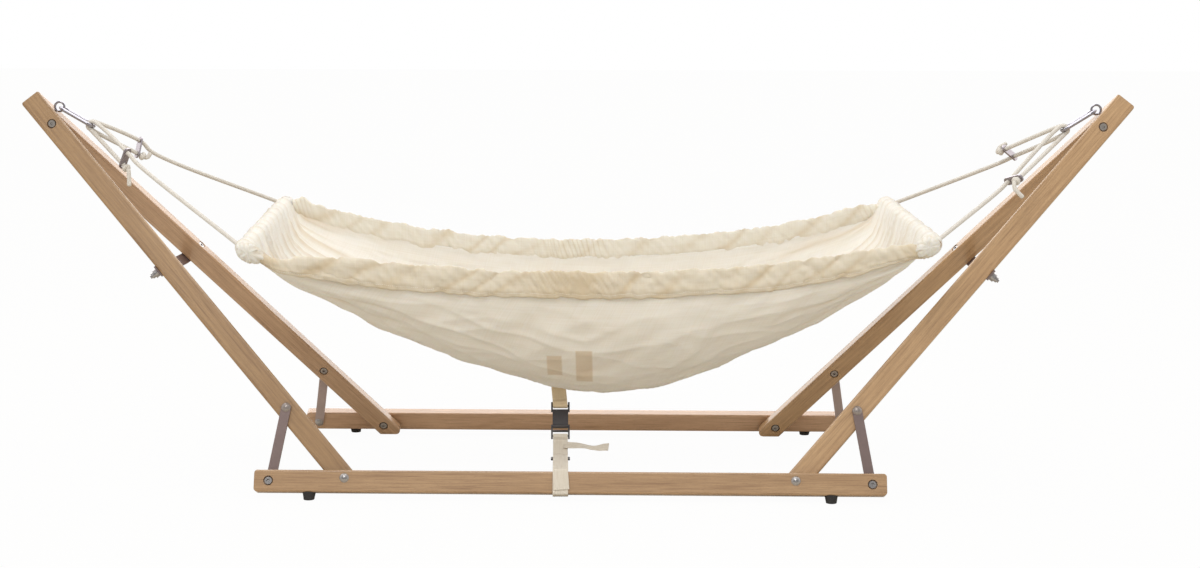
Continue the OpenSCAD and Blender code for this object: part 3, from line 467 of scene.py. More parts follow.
def woven(name, pale, dark, patches=()):
    """Plain weave of uneven cotton yarn, with painted golden shade deep in its folds and in the
    shade patches.
    """
    f = Finish(name)
    across, along = f.flat()
    warp = (across * (TURN / THREAD)).sin()
    weft = (along * (TURN / THREAD)).sin()
    weave = warp * weft * 0.5 + 0.5
    thick_warp = f.noise(f.point(across * 420, along * 7, 0.0), 1.0, 2.0)
    thick_weft = f.noise(f.point(across * 7, along * 420, 3.0), 1.0, 2.0)
    cloudy = f.noise(f.point(across * 22, along * 22, 7.0), 1.0, 3.0)
    uneven = thick_warp * 0.5 + thick_weft * 0.5
    colour = f.blend((uneven - 0.42) * 1.6, pale, dark)
    colour = f.blend((cloudy - 0.5) * 0.7, colour, dark)
    colour = f.blend((1 - weave) * 0.12, colour, dark)
    x, y, z = f.parts(f.place())
    # painted shade: patches where something inside darkens the cloth in front
    for left, end, low, high in patches:
        within = (x - left).low(end - x).low(z - low).low(high - z).low(-0.02 - y)
        share = (within * 400 + 0.5).high(0.0).low(1.0)
        colour = f.blend(share * PATCH_SHADE_TINT, colour, CLOTH_GOLDEN_SHADE)
    # painted shade: the fold number mixes the golden shade into the colour
    fold = f.node("Attribute", {"attribute_name": "fold"}, out="Fac")
    return f.surface(
        Base_Color=f.blend(fold * FOLD_SHADE_TINT, colour, CLOTH_GOLDEN_SHADE), Roughness=0.86 - weave * 0.08,
        Normal=f.bump(weave * 0.7 + uneven, 0.35 * MM, 0.7),
        Specular_IOR_Level=0.2, Sheen_Weight=0.2, Sheen_Roughness=0.5, Subsurface_Weight=0.12,
        Subsurface_Radius=(4 * MM, 2.6 * MM, 1.4 * MM), Subsurface_Scale=1.0)


bed_cloth = woven("bed_cloth", CLOTH, CLOTH_SHADE, SHADE_PATCHES)
band_cloth = woven("band_cloth", rgb(234, 227, 213), rgb(218, 205, 180))
print("cloth:", bed_cloth.name, band_cloth.name)

# %% [markdown]
# Webbing is a thick herringbone, and cord is braided: both are rows of yarn that lean one
# way and then the other. The strap just under the bed stands in the bed's golden shade, so
# its webbing is a copy with that golden shade painted in, warmer than the rest.

# %% Webbing, cord and thread finishes
HERRINGBONE = 6.2 * MM
YARN = 1.6 * MM
BRAID_YARN = 0.75 * MM


def twilled(name, pale, dark):
    """Webbing: a flat herringbone of thick yarns, with a plain edge."""
    f = Finish(name)
    across, along = f.flat()
    lean = (across * (TURN / HERRINGBONE)).sin().abs() * (HERRINGBONE / 2)
    yarn = ((along + lean) * (TURN / YARN)).sin() * 0.5 + 0.5
    rows = (across * (TURN / (HERRINGBONE / 4))).sin() * 0.5 + 0.5
    uneven = f.noise(f.point(across * 300, along * 30, 5.0), 1.0, 2.0)
    height = yarn * 0.6 + rows * 0.4
    colour = f.blend((1 - height) * 0.45, pale, dark)
    return f.surface(Base_Color=f.blend((uneven - 0.45) * 0.8, colour, dark),
                     Roughness=0.8 - height * 0.08,
                     Normal=f.bump(height + uneven * 0.4, 0.4 * MM, 0.8),
                     Sheen_Weight=0.2, Sheen_Roughness=0.5)


def braided(name, pale, dark):
    """Braided cord: yarns lean both ways round it. Across is round the cord."""
    f = Finish(name)
    across, along = f.flat()
    one = ((along + across * 0.7) * (TURN / BRAID_YARN)).sin()
    two = ((along - across * 0.7) * (TURN / BRAID_YARN)).sin()
    fine = one.high(two) * 0.5 + 0.5
    dusty = f.noise(f.point(across * 90, along * 90, 2.0), 1.0, 3.0)
    colour = f.blend((1 - fine) * 0.35, pale, dark)
    return f.surface(Base_Color=f.blend((dusty - 0.45) * 0.8, colour, dark),
                     Roughness=0.85 - fine * 0.05, Normal=f.bump(fine, 0.18 * MM, 0.8),
                     Sheen_Weight=0.2, Sheen_Roughness=0.5)


webbing = twilled("webbing", rgb(234, 225, 210), rgb(190, 174, 148))
# painted shade: a warmer copy of the webbing, for the shade under the bed
webbing_shaded = twilled("webbing_shaded", rgb(240, 218, 180), rgb(204, 178, 140))
cord_cotton = braided("cord_cotton", rgb(222, 215, 204), rgb(172, 163, 151))
thread_white = moulded("thread_white", rgb(236, 230, 216), 0.8, 2200)
print("finishes:", len(bpy.data.materials))

# %% [markdown]
# A few helpers turn numbers into meshes. The main one lays faces over a grid of points, and
# gives each point its place on the flat cloth, so that the weave can follow it.

# %% Mesh helpers


def add_object(name, mesh, material, body=None):
    """Puts a mesh in the scene, as a piece that rides on a body where one is named."""
    mesh.materials.append(material)
    mesh.polygons.foreach_set("use_smooth", [True] * len(mesh.polygons))
    made = bpy.data.objects.new(name, mesh)
    bpy.context.scene.collection.objects.link(made)
    if body:
        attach(made, body)
    return made


def thicken(piece, wall):
    """Gives a sheet of cloth its thickness, half of it to each side."""
    cloth = piece.modifiers.new("cloth_thickness", "SOLIDIFY")
    cloth.thickness = wall
    cloth.offset = 0


def skin(name, grid, flat, closed=False, ends=False, fold=None):
    """Mesh over rows of points. closed joins each row into a ring; ends closes both ends.
    fold says how deep in a fold each point is, from 0 to 1, for the painted shade."""
    rows, cols = grid.shape[:2]
    mesh = bpy.data.meshes.new(name)
    j, i = np.meshgrid(np.arange(rows - 1), np.arange(cols if closed else cols - 1),
                       indexing="ij")
    k = (i + 1) % cols
    faces = np.stack([j * cols + i, j * cols + k, (j + 1) * cols + k, (j + 1) * cols + i], -1)
    faces = faces.reshape(-1, 4).tolist()
    if ends:
        faces.append(list(range(cols - 1, -1, -1)))
        faces.append([(rows - 1) * cols + c for c in range(cols)])
    mesh.from_pydata(grid.reshape(-1, 3).tolist(), [], faces)
    spots = np.stack([flat[j, i], flat[j, i + 1], flat[j + 1, i + 1], flat[j + 1, i]], 2)
    layer = mesh.uv_layers.new(name="UVMap")
    values = np.zeros((len(mesh.loops), 2), np.float32)
    values[:spots.size // 2] = spots.reshape(-1, 2)
    layer.data.foreach_set("uv", values.ravel())
    if fold is not None:
        deep = mesh.attributes.new("fold", "FLOAT", "POINT")
        deep.data.foreach_set("value", np.clip(fold, 0, 1).astype(np.float32).ravel())
    mesh.validate()
    return mesh


def laid_flat(across, along):
    """Places on the flat cloth, from how far across and how far along each point is."""
    return np.stack(np.broadcast_arrays(across, along), -1)


print("a flat place:", laid_flat(0.01, 0.02))

# %% [markdown]
# Cords and straps follow paths. A path is a smooth curve through a few points, with its
# points then spaced evenly. A tube along it carries a pair of side directions from ring to
# ring without twisting, and may change its radius.

# %% Paths and tubes


def unit(v):
    """A direction with a length of 1."""
    return v / np.linalg.norm(v)


def units(rows):
    """Many directions, one in each row, each with a length of 1."""
    return rows / np.linalg.norm(rows, axis=1)[:, None]


def lengths(points):
    """How far along a path each of its points is."""
    return np.concatenate([[0], np.cumsum(np.linalg.norm(np.diff(points, axis=0), axis=1))])


def even(points, step):
    """The same path with points evenly spaced."""
    at = lengths(points)
    new = np.linspace(0, at[-1], max(2, round(at[-1] / step) + 1))
    return np.stack([np.interp(new, at, points[:, k]) for k in range(points.shape[1])], 1)


def curve_through(points, step):
    """Smooth path through points, which doesn't swing out where they are far apart."""
    p = np.vstack([2 * points[0] - points[1], points, 2 * points[-1] - points[-2]])
    out = []
    for a, b, c, d in zip(p, p[1:], p[2:], p[3:]):
        knots = np.cumsum([0] + [math.sqrt(np.linalg.norm(after - before))
                                 for before, after in ((a, b), (b, c), (c, d))])
        for t in np.linspace(knots[1], knots[2], 24, endpoint=False):
            def between(x, y, i, j):
                return (x * (knots[j] - t) + y * (t - knots[i])) / (knots[j] - knots[i])
            ab, bc, cd = between(a, b, 0, 1), between(b, c, 1, 2), between(c, d, 2, 3)
            out.append(between(between(ab, bc, 0, 2), between(bc, cd, 1, 3), 1, 2))
    return even(np.vstack([out, p[-2]]), step)


def rings_along(path, around):
    """Directions out of a path, for each of its points and each of a ring's points."""
    headings = units(np.gradient(path, axis=0))
    side = np.array((0.3, 1, 0.2))
    sides = []
    for heading in headings:
        side = unit(side - (side @ heading) * heading)
        sides.append(side)
    sides = np.array(sides)
    other = np.cross(headings, sides)
    angle = np.linspace(0, TURN, around, endpoint=False)
    return (sides[:, None] * np.cos(angle)[None, :, None]
            + other[:, None] * np.sin(angle)[None, :, None]), angle


def tube(name, path, radius, around, relief):
    """Closed tube along a path. relief adds to the radius, by place along and angle."""
    out, angle = rings_along(path, around)
    at = lengths(path)
    size = np.broadcast_to(np.asarray(radius, float), (len(path),))[:, None]
    size = size + relief(at[:, None], angle[None, :])
    grid = path[:, None] + out * size[..., None]
    girth = np.linspace(0, 1, around + 1) * TURN * float(np.median(size))
    return skin(name, grid, laid_flat(girth[None, :], at[:, None]), closed=True, ends=True)


print("a direction with a length of 1:", unit(np.array((3.0, 0, 4.0))))

# %% [markdown]
# Each cord starts in a spreader bar, runs up through one hole of its runner, goes round the
# snap hook, and comes back to the runner's other hole, where a knot keeps it. The routes
# follow the model's own rule, in millimetres: how far along each runner sits, how it is
# turned on its cord, and how far it draws the cord down.

# %% Routes of the cords
LEFT_SEAT = [(-822.5, 593), (-829.5, 594.5), (-834.5, 591), (-835, 585), (-830, 580)]
RIGHT_SEAT = [(823.5, 591), (830, 592.5), (835.5, 589.5), (836.5, 584), (831.5, 578.5)]
# each cord: where it leaves its bar, its seat on the hook seen from the front and how far
# back that is, how far along its runner is, the runner's turn, how far it draws the cord
# down at both its ends, and the free end's points from the knot on
CORDS = {
    "front_left": ((-524.5, -235.5, 401.5), LEFT_SEAT, -4, 97, 0, (5, 9),
                   ((2, -4, -10), (3, -8, -27))),
    "back_left": ((-541.5, 235.5, 431.5), LEFT_SEAT, 4, 87, -20, (0, 9.5),
                  ((4, 3, 1), (8, 6, 8))),
    "front_right": ((580, -235.5, 415.5), RIGHT_SEAT, -4, 165, 107, (12, 12.5),
                    ((0, -5, -9), (13, -10, -24))),
    "back_right": ((563, 235.5, 433.5), RIGHT_SEAT[::-1], 4, 104, 127, (4, 5),
                   ((3, 0, 8), (16, 3, 16)))}
RUNNER_PITCH = 24
TO_BEND = 24
PAST_HOLE = 4
TO_KNOT = 10
KNOT_HALF = 5.5
KNOT = 11


def cord_route(start, seat, y, reach, roll, drops, tail):
    """Points from the bar, round the hook, to the knot and the free end, in millimetres."""
    start = np.array(start, float)
    seat = np.array([(x, y, z) for x, z in seat], float)
    run = unit(start - seat[0])
    kink = seat[0] + (reach + PAST_HOLE) * run - (0, 0, drops[0])
    bend = seat[0] + (reach + TO_BEND) * run - (0, 0, drops[1])
    d = unit(kink - seat[0])
    side = unit(np.array((-d[1], d[0], 0)))
    roll = math.radians(roll)
    aside = math.cos(roll) * np.cross(side, d) + math.sin(roll) * side
    hole = seat[0] + reach * d + RUNNER_PITCH * aside
    d = unit(hole - seat[4])
    knot = hole + TO_KNOT * d
    return [start, bend, kink, *seat, hole - PAST_HOLE * d, hole, hole + PAST_HOLE * d, knot,
            knot + KNOT_HALF * d, *(knot + KNOT_HALF * d + np.array(p) for p in tail)]


ROUTES = {where: cord_route(*numbers) for where, numbers in CORDS.items()}
print("knots:", {where: route[KNOT].round(1).tolist() for where, route in ROUTES.items()})

# %% [markdown]
# The braid is real relief on the tube: two sets of yarns lean both ways, so small bumps lie
# round the cord like diamonds. The knot is the cord's own turns round itself, wound as a
# helix with its ends tucked in.

# %% Braid and knot
CORD_R = 3.5 * MM
BRAID = 0.13 * MM
BRAID_PITCH = 7.2 * MM
POINT_STEP = 0.9 * MM
KNOT_R = 4.6 * MM
KNOT_LONG = 7.6 * MM
KNOT_TURNS = 1.9


def braid(at, angle):
    """Relief of a braid: bumps in diamonds."""
    up = at * (TURN / BRAID_PITCH)
    return BRAID * np.sin(3 * angle + up) * np.sin(3 * angle - up)


def blunt(path):
    """Radii of a cord whose free end is rounded off."""
    from_end = lengths(path)[-1] - lengths(path)
    near = np.clip(from_end / (1.6 * MM), 0, 1)
    return CORD_R * (0.55 + 0.45 * np.sqrt(1 - (1 - near) ** 2))


def knot_path(before, centre, after):
    """The turns of a knot round a cord that comes from before and goes to after."""
    run = unit(after - before)
    side = unit(np.cross(run, (0.2, 0.3, 1)))
    other = np.cross(run, side)
    turns = np.linspace(0, 1, 90)
    wind = TURN * KNOT_TURNS * turns
    reach = KNOT_R * np.sin(math.pi * np.clip(turns * 1.06 - 0.03, 0, 1)) ** 0.22
    shift = (turns - 0.5) * KNOT_LONG + 1.2 * MM * np.sin(wind * 0.5)
    coil = (centre + run * shift[:, None]
            + (side * np.cos(wind)[:, None] + other * np.sin(wind)[:, None]) * reach[:, None])
    return even(coil, POINT_STEP)


print("relief of the braid:", BRAID / MM, "mm")

# %% [markdown]
# Each cord is three pieces. The knot and the free end past it go with the runner when it
# slides, and the rest of the cord stays with the bed.

# %% Cords


def cord_piece(name, path, radius, around, body):
    """A stretch of cord along a path."""
    piece = add_object(name, tube(name, path, radius, around, braid), cord_cotton, body)
    return piece


for where, route in ROUTES.items():
    points = np.array(route) * MM
    path = curve_through(points[:KNOT + 1], POINT_STEP)
    loose = curve_through(points[KNOT:], POINT_STEP)
    cord = cord_piece("cord_" + where, path, CORD_R, 36, "hammock")
    end = cord_piece("cord_end_" + where, loose, blunt(loose), 36, "runner_" + where)
    knot = cord_piece("knot_" + where, knot_path(*points[KNOT - 1:KNOT + 2]), 3.1 * MM, 24,
                      "runner_" + where)
    long, past = float(lengths(path)[-1]), float(lengths(loose)[-1])
    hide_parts("rope_" + where)
    print("cord", where, round(long, 3), "m and", round(past, 3), "m past the knot")

# %% [markdown]
# The bed is one length of cotton. Each end passes over a spreader bar, round it, and is sewn
# to itself below, so the cloth that covers the bar and the cloth of the bed are one piece.
# The trough's shape follows the model: how high its edges are, how deep it hangs, and how
# wide it is, all as rules of s, from -1 at the left bar to 1 at the right. Because the cloth
# is gathered on the bars, its folds fan out from them and die away in the bed.

# %% Rules of the trough
BAR_X = {-1: -533 * MM, 1: 571.5 * MM}
BAR_Z = {-1: 416.5 * MM, 1: 424.5 * MM}
BAR_HALF = 250 * MM
BAR_MID = 19.25 * MM
BAR_SPAN = 552.25 * MM
CASING_R = 13.85 * MM
BED_END = BAR_SPAN - 0.6 * CASING_R
BED_DROP = 0.65 * CASING_R
BED_HALF = 172 * MM
BAND_Z = 346 * MM
BED_LOW = 134 * MM
END_SAG = 40 * MM
HEM_GAP = 8 * MM
LOW_SHIFT = 0.065
SAG_CURVE = 1.45


def along_x(s, y):
    """Where a point of the bed is from left to right."""
    return BAR_MID + s * BED_END - y * math.tan(SKEW)


def bar_z(s):
    """How high the bars are, and a straight line between them."""
    return (BAR_Z[-1] + BAR_Z[1]) / 2 + s * (BAR_Z[1] - BAR_Z[-1]) / 2


def rise(s, y):
    """How much higher the back is than the front, because the bars slope."""
    return y * np.tan((SLOPE[-1] + SLOPE[1]) / 2 + s * (SLOPE[1] - SLOPE[-1]) / 2)


def edge_half(s):
    """Half of the bed's width at its edge."""
    return BED_HALF + (BAR_HALF - 12 * MM - BED_HALF) * s * s


def band_mid(s):
    """How high the middle of the side bands is."""
    return BAND_Z + (bar_z(s) - BED_DROP - BAND_Z) * np.abs(s) ** 2.2


def edge_z(s):
    """How high the bed's edge is, a little below the bands' middle."""
    return band_mid(s) - HEM_GAP * (1 - s ** 4)


def bed_depth(s):
    """How deep the bed hangs below its edge."""
    full = edge_z(0.0) - BED_LOW - END_SAG
    q = s - LOW_SHIFT * (1 - s * s)
    return 2.5 * MM + END_SAG * (1 - s ** 24) + full * (1 - np.abs(q) ** SAG_CURVE)


print("edge of the bed in its middle:", round(edge_z(0.0), 3))

# %% [markdown]
# From these rules comes any point of the trough. A bar has a place and three directions of
# its own, because it slopes a little and is turned a little.

# %% Points of the trough


def bed_point(s, t, inwards=1.0 * MM):
    """A point of the trough: s along it and t across, from -1 in front to 1 at the back."""
    y = (edge_half(s) - inwards) * np.sin(math.pi / 2 * t)
    fold = 12 * MM * np.abs(s) ** 3 * (1 - s * s) * np.sin(6 * math.pi * t)
    z = edge_z(s) - (bed_depth(s) - inwards) * np.cos(math.pi / 2 * t) + fold + rise(s, y)
    return np.stack(np.broadcast_arrays(along_x(s, y), y, z), -1)


def bar_frame(side):
    """The middle of a bar, and its directions: along it, towards the bed, and up."""
    slope = SLOPE[side]
    centre = np.array((BAR_X[side], 0, BAR_Z[side]))
    length = np.array((-math.sin(SKEW) * math.cos(slope), math.cos(SKEW) * math.cos(slope),
                       math.sin(slope)))
    inner = -side * np.array((math.cos(SKEW), math.sin(SKEW), 0))
    up = np.array((math.sin(SKEW) * math.sin(slope), -math.cos(SKEW) * math.sin(slope),
                   math.cos(slope)))
    return centre, length, inner, up


low = bed_point(np.linspace(-1, 1, 41), 0.0)
print("lowest point of the bed:", low[low[:, 2].argmin()].round(3))

# %% [markdown]
# Folds are sums of rounded ridges with sharp valleys between, the shape that gathered cloth
# takes. Their spacing wanders, so that no two are alike. Perlin noise is the same at every
# run, so nothing here is random.

# %% Folds


def wander(values, scale, seed):
    """Smooth wandering numbers, one for each value."""
    values = np.asarray(values, float)
    flat = [noise.noise(Vector((v * scale, seed, 0.5))) for v in values.ravel()]
    return np.array(flat).reshape(values.shape)


def rough_field(a, b, scale_a, scale_b, seed, octaves=3):
    """Smooth wandering numbers over two measures at once."""
    a, b = np.broadcast_arrays(a, b)
    out = np.zeros(a.size)
    for i, (x, y) in enumerate(zip(a.ravel(), b.ravel())):
        out[i] = noise.fractal(Vector((x * scale_a, y * scale_b, seed)), 1.0, 2.0, octaves)
    return out.reshape(a.shape)


def ridges(at, spacing, seed, sway=0.8):
    """Rounded ridges about a spacing apart, from about -0.6 to 0.4."""
    phase = at / spacing + sway * wander(at, 0.45 / spacing, seed)
    return np.abs(np.sin(math.pi * phase)) - 0.64


def step(low, high, x):
    """0 below low and 1 above high, with a soft rise between."""
    t = np.clip((x - low) / (high - low), 0, 1)
    return t * t * (3 - 2 * t)


def normals_of(grid):
    """Directions out of a grid of points."""
    n = np.cross(np.gradient(grid, axis=1), np.gradient(grid, axis=0))
    return n / np.maximum(np.linalg.norm(n, axis=2), 1e-9)[..., None]


print("a few ridges:", ridges(np.linspace(0, 0.05, 5), 0.014, 3.0).round(2))

# %% [markdown]
# The rows of the sheet run from the seam under the left bar, round the bar, across the
# trough, and round the right bar to its seam. Between a bar and the trough the cloth leaves
# the bar in a straight line that touches it, so near the edges it leaves high, and in the
# middle, where the bed hangs deep, it leaves low.

# %% Rows of the bed sheet
COLUMNS = 181
TROUGH_ROWS = 150
WRAP_ROWS = 26
LEAVE_ROWS = 12
S_END = 0.945
ROLL_R = 13.2 * MM
ROLL_HALF = 251 * MM
SEAM_ANGLE = math.radians(328)

t = np.linspace(-1, 1, COLUMNS)
roll_y = np.where(t < 0, ROLL_HALF - 6 * MM, ROLL_HALF) * np.sin(math.pi / 2 * t)
leave_angle = np.radians(20 + 25 * t * t)
roll_r = ROLL_R * (1 + np.where(t < 0, -0.14, 0.06) * step(0.78, 1.0, np.abs(t)))


def bridge(first, heading, last, onward):
    """Rows from one edge to another, which leave and arrive in the directions given."""
    gap = np.linalg.norm(last - first, axis=1)[:, None]
    shares = [k / (LEAVE_ROWS + 1) for k in range(1, LEAVE_ROWS + 1)]
    return [(2 * h ** 3 - 3 * h ** 2 + 1) * first + (h ** 3 - 2 * h ** 2 + h) * heading * gap
            + (3 * h ** 2 - 2 * h ** 3) * last + (h ** 3 - h ** 2) * onward * gap
            for h in shares]


def end_rows(side):
    """Rows from the seam under a bar, round the bar, to the start of the trough."""
    centre, length, inner, up = bar_frame(side)
    base = centre + length * roll_y[:, None]
    rows = []
    for k in range(WRAP_ROWS):
        angle = SEAM_ANGLE + (leave_angle - SEAM_ANGLE) * k / (WRAP_ROWS - 1)
        out = np.cos(angle)[:, None] * inner + np.sin(angle)[:, None] * up
        rows.append(base + roll_r[:, None] * out)
    heading = np.sin(leave_angle)[:, None] * inner - np.cos(leave_angle)[:, None] * up
    last = bed_point(side * S_END, t)
    onward = units(bed_point(side * (S_END - 0.01), t) - last)
    return rows + bridge(rows[-1], heading, last, onward)


sigma = np.linspace(-1, 1, TROUGH_ROWS)
s_rows = S_END * (0.6 * sigma + 0.4 * np.sin(math.pi / 2 * sigma))
trough = bed_point(s_rows[:, None], t[None, :])
sheet = np.concatenate([end_rows(-1), trough, end_rows(1)[::-1]])
print("rows of the sheet:", len(sheet), "of", COLUMNS, "points")

# %% [markdown]
# Cloth lies flat before it is sewn. So each point also gets its place on the flat piece: how
# far along the cloth it is, and how far across. The same lengths say how far a point is from
# the nearer bar, below zero on the bar itself, which is what the folds depend on.

# %% The sheet laid flat
middle_row = len(sheet) // 2
run = np.concatenate([np.zeros((1, COLUMNS)),
                      np.cumsum(np.linalg.norm(np.diff(sheet, axis=0), axis=2), axis=0)])
across = np.concatenate([np.zeros((len(sheet), 1)),
                         np.cumsum(np.linalg.norm(np.diff(sheet, axis=1), axis=2), axis=1)], 1)
CUT_WIDTH = float(across[middle_row, -1])
from_bar = np.minimum(run - run[WRAP_ROWS], run[-WRAP_ROWS - 1] - run)
at_left = (np.arange(len(sheet)) < middle_row)[:, None]
spread = roll_y[None, :] + np.zeros((len(sheet), 1))
to_edge = np.abs(t)[None, :]

# %% [markdown]
# Three sizes of fold fan out from the bars: broad ones, fine ones between them, and crisp
# wrinkles on top. Each has its own spacing, and they grow where the cloth leaves the bar and
# die away in the bed. At a bar's front end the cloth is pulled tight.

# %% Folds that fan out from the bars
sway = rough_field(spread, run, 9, 7, 2.0, 2) * 12 * MM
slant = spread + sway * 0.6 + np.clip(from_bar, -0.09, 0.02) * 0.45
uneven = 0.7 + 0.95 * rough_field(spread, run, 14, 10, 71.0, 2)
fine = np.where(at_left, ridges(slant, 20 * MM, 3.1, 1.7), ridges(slant, 18 * MM, 8.7, 1.6))
crisp = np.where(at_left, ridges(slant + sway * 0.3, 9.5 * MM, 14.3, 1.2),
                 ridges(slant, 8.5 * MM, 17.7, 1.2))
broad = np.where(at_left, ridges(slant + sway * 0.5, 42 * MM, 5.3),
                 ridges(slant + sway * 0.5, 40 * MM, 11.9))
on_bar = 1 - step(-0.001, 0.012, from_bar)
near_bar = (1 - on_bar) * (1 - step(0.03, 0.15, from_bar))
leaving = (1 - on_bar) * step(-0.01, 0.045, from_bar) * (1 - step(0.07, 0.34, from_bar))
fine_size = (2.2 * on_bar + 4.2 * near_bar) * uneven * MM
crisp_size = (0.5 * on_bar + 0.7 * near_bar) * uneven * MM
broad_size = (4.4 * on_bar + 8.0 * leaving) * MM
tight = 1 - 0.75 * on_bar * step(0.72, 0.93, -t)[None, :]
calm = step(1.0, 0.90, to_edge)
fanned = (fine * fine_size + crisp * crisp_size + broad * broad_size * calm) * tight
print("fanned folds:", (fanned.min() / MM).round(1), "to", (fanned.max() / MM).round(1), "mm")

# %% [markdown]
# Away from the bars the trough has a slow drape, a few soft creases, and faint lines of
# tension that run aslant from each edge to the other. Small crimps follow its hems. At the
# left bar's front end the real cloth has a deep hollow.

# %% Drape, creases and tension
HOLLOW = 12 * MM
CREASE = 4.5 * MM
share_along = np.clip((sheet[..., 0] - BAR_MID) / BED_END, -1, 1)
ends_in = 1 - np.abs(share_along)


def tension_lines(lines, seed, size):
    """Thin raised lines where a wandering field passes through zero."""
    near = np.clip(1 - np.abs(2 * rough_field(lines, share_along * 0.7, 17.0, 4.0, seed, 2)), 0, 1)
    return (near ** 3 - 0.3) * size


tension = (tension_lines(0.29 * to_edge + 0.17 * ends_in, 53.0, 2.8 * MM)
           + tension_lines(0.29 * to_edge - 0.12 * ends_in, 57.0, 2.2 * MM))
tension = tension * step(0.08, 0.25, from_bar)
drape = rough_field(run + np.abs(spread) * 0.8, spread, 6.5, 5.0, 31.0, 3) * 7 * MM
creases = -CREASE * np.abs(rough_field(run - np.abs(spread) * 1.1, spread + run * 0.3,
                                       11.0, 7.0, 47.0, 2))
in_trough = step(0.04, 0.2, from_bar) * step(0.0, 0.25, 1 - to_edge)
crimp = ridges(run + 3 * MM * np.sin(spread * 60), 9 * MM, 21.0) * 1.4 * MM
crimp_share = (1 - step(0.0, 0.045, (1 - to_edge) * 0.3)) * step(0.02, 0.08, from_bar)
hollow = (HOLLOW * np.exp(-((t[None, :] + 0.93) / 0.1) ** 2
                          - ((from_bar - 0.035) / 0.022) ** 2) * at_left)
height = fanned + crimp * crimp_share + (drape + creases + tension) * in_trough - hollow
print("all folds:", (height.min() / MM).round(1), "to", (height.max() / MM).round(1), "mm")

# %% [markdown]
# The folds move each point along the sheet's own outward direction. How deep each point lies
# in a fold is kept too, for the painted golden shade. The sheet is one surface, and a modifier
# gives it the thickness of the cloth.

# %% Bed sheet
BED_WALL = 1.2 * MM


def sunken(folds, top, reach):
    """How deep in its folds a point is, from 0 to 1."""
    return np.clip((top - folds) / reach, 0, 1)


# painted shade: how golden each point is painted, deeper in a fold, a crease or the hollow
fold_shade = (sunken(fine, 0.05, 0.7) ** 1.5 * fine_size / (4 * MM) * 0.6
          + sunken(broad, 0.0, 0.64) ** 1.5 * broad_size / (8.5 * MM) * 0.8
          + sunken(creases, 0.0, CREASE) * 0.25 * in_trough + hollow / HOLLOW * 0.8)
sheet = sheet + normals_of(sheet) * height[..., None]
bed_flat = laid_flat(across / across[:, -1:] * CUT_WIDTH, run)
bed = add_object("bed_sheet", skin("bed_sheet", sheet, bed_flat, fold=fold_shade), bed_cloth,
                 "hammock")
thicken(bed, BED_WALL)
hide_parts("bed", "casing_left", "casing_right")
print("bed sheet faces:", len(bed.data.polygons))

# %% [markdown]
# The ends of the two bars are closed by the same cloth. At the back it is gathered to a small
# pucker: rings round the bar's middle that grow smaller, each a little wavy. All sizes here
# are in millimetres, and the three directions are those of the bar.

# %% Puckers at the back ends of the bars
SPOKES = 72
# each ring: how far out along the bar, its radius, and how wavy it is
PUCKER = ((246, 13.6, 0.5), (249.5, 13.9, 0.7), (252, 13.2, 0.9), (253.4, 11, 1.0),
          (254, 8, 0.9), (253.6, 5, 0.6), (252.4, 2.4, 0.3), (251.4, 0.3, 0.0))


def pucker_rings(side):
    """Rings of a pucker, each as inward, up and out, and how deep in a fold they are."""
    angle = np.linspace(0, TURN, SPOKES, endpoint=False)
    rings = []
    for out, radius, pucker in PUCKER:
        size = radius + pucker * np.sin(9 * angle + 1) * np.cos(4 * angle + side)
        rings.append((np.cos(angle) * size, np.sin(angle) * size,
                      out + pucker * 0.8 * np.sin(11 * angle + side * 2)))
    return rings, [0 * angle] * len(rings)


print("rings of a pucker:", len(pucker_rings(1)[0]))

# %% [markdown]
# In front, each bar ends in a bag that bulges towards the bed and down, with an outline of
# its own on each side: this is where the bed, the front band and the bar's casing come
# together. The bag grows out of the round bar, and its cloth is crumpled: pleats round it,
# and sharp small dents that point inward. The dents stay shallow, so that the bar's wood
# never shows through.

# %% Bags at the front ends of the bars
BAGS = {
    -1: ((-9, 10), (-12.4, 3), (-12, -6), (-7, -14), (3, -20), (14, -22), (25, -21), (31, -13),
         (28, -3), (20, 5), (10, 11), (-1, 13)),
    1: ((-9, 10), (-12.3, 3), (-12, -5), (-7, -13), (3, -20), (14, -23), (24, -20), (29, -12),
        (27, -1), (20, 7), (9, 12), (-1, 14))}
# each ring: how far out along the bar, its share of the bag's outline, and its size
BAG_RINGS = ((206, 0, 1), (216, 0.3, 1), (225, 0.65, 1), (233, 0.88, 1), (239, 1, 0.99),
             (243.5, 1, 0.95), (247.5, 1, 0.88), (251, 1, 0.78), (253.5, 1, 0.64),
             (254.9, 1, 0.46), (255.7, 1, 0.25), (256, 1, 0.1), (256, 1, 0.004))
BAG_MIDDLE = np.array((9.0, -2.0))
BAR_ROUND = 13.6


def closed_curve(points, count):
    """Smooth closed curve through points, evenly spaced."""
    ring = np.array(points + points[:3], float)
    out = []
    for a, b, c, d in zip(ring, ring[1:], ring[2:], ring[3:]):
        h = np.linspace(0, 1, 16, endpoint=False)[:, None]
        out.append(0.5 * (2 * b + (c - a) * h + (2 * a - 5 * b + 4 * c - d) * h ** 2
                          + (3 * b - a - 3 * c + d) * h ** 3))
    loop = np.vstack(out + [out[0][:1]])
    at = lengths(loop)
    new = np.linspace(0, at[-1], count, endpoint=False)
    return np.stack([np.interp(new, at, loop[:, k]) for k in (0, 1)], 1)


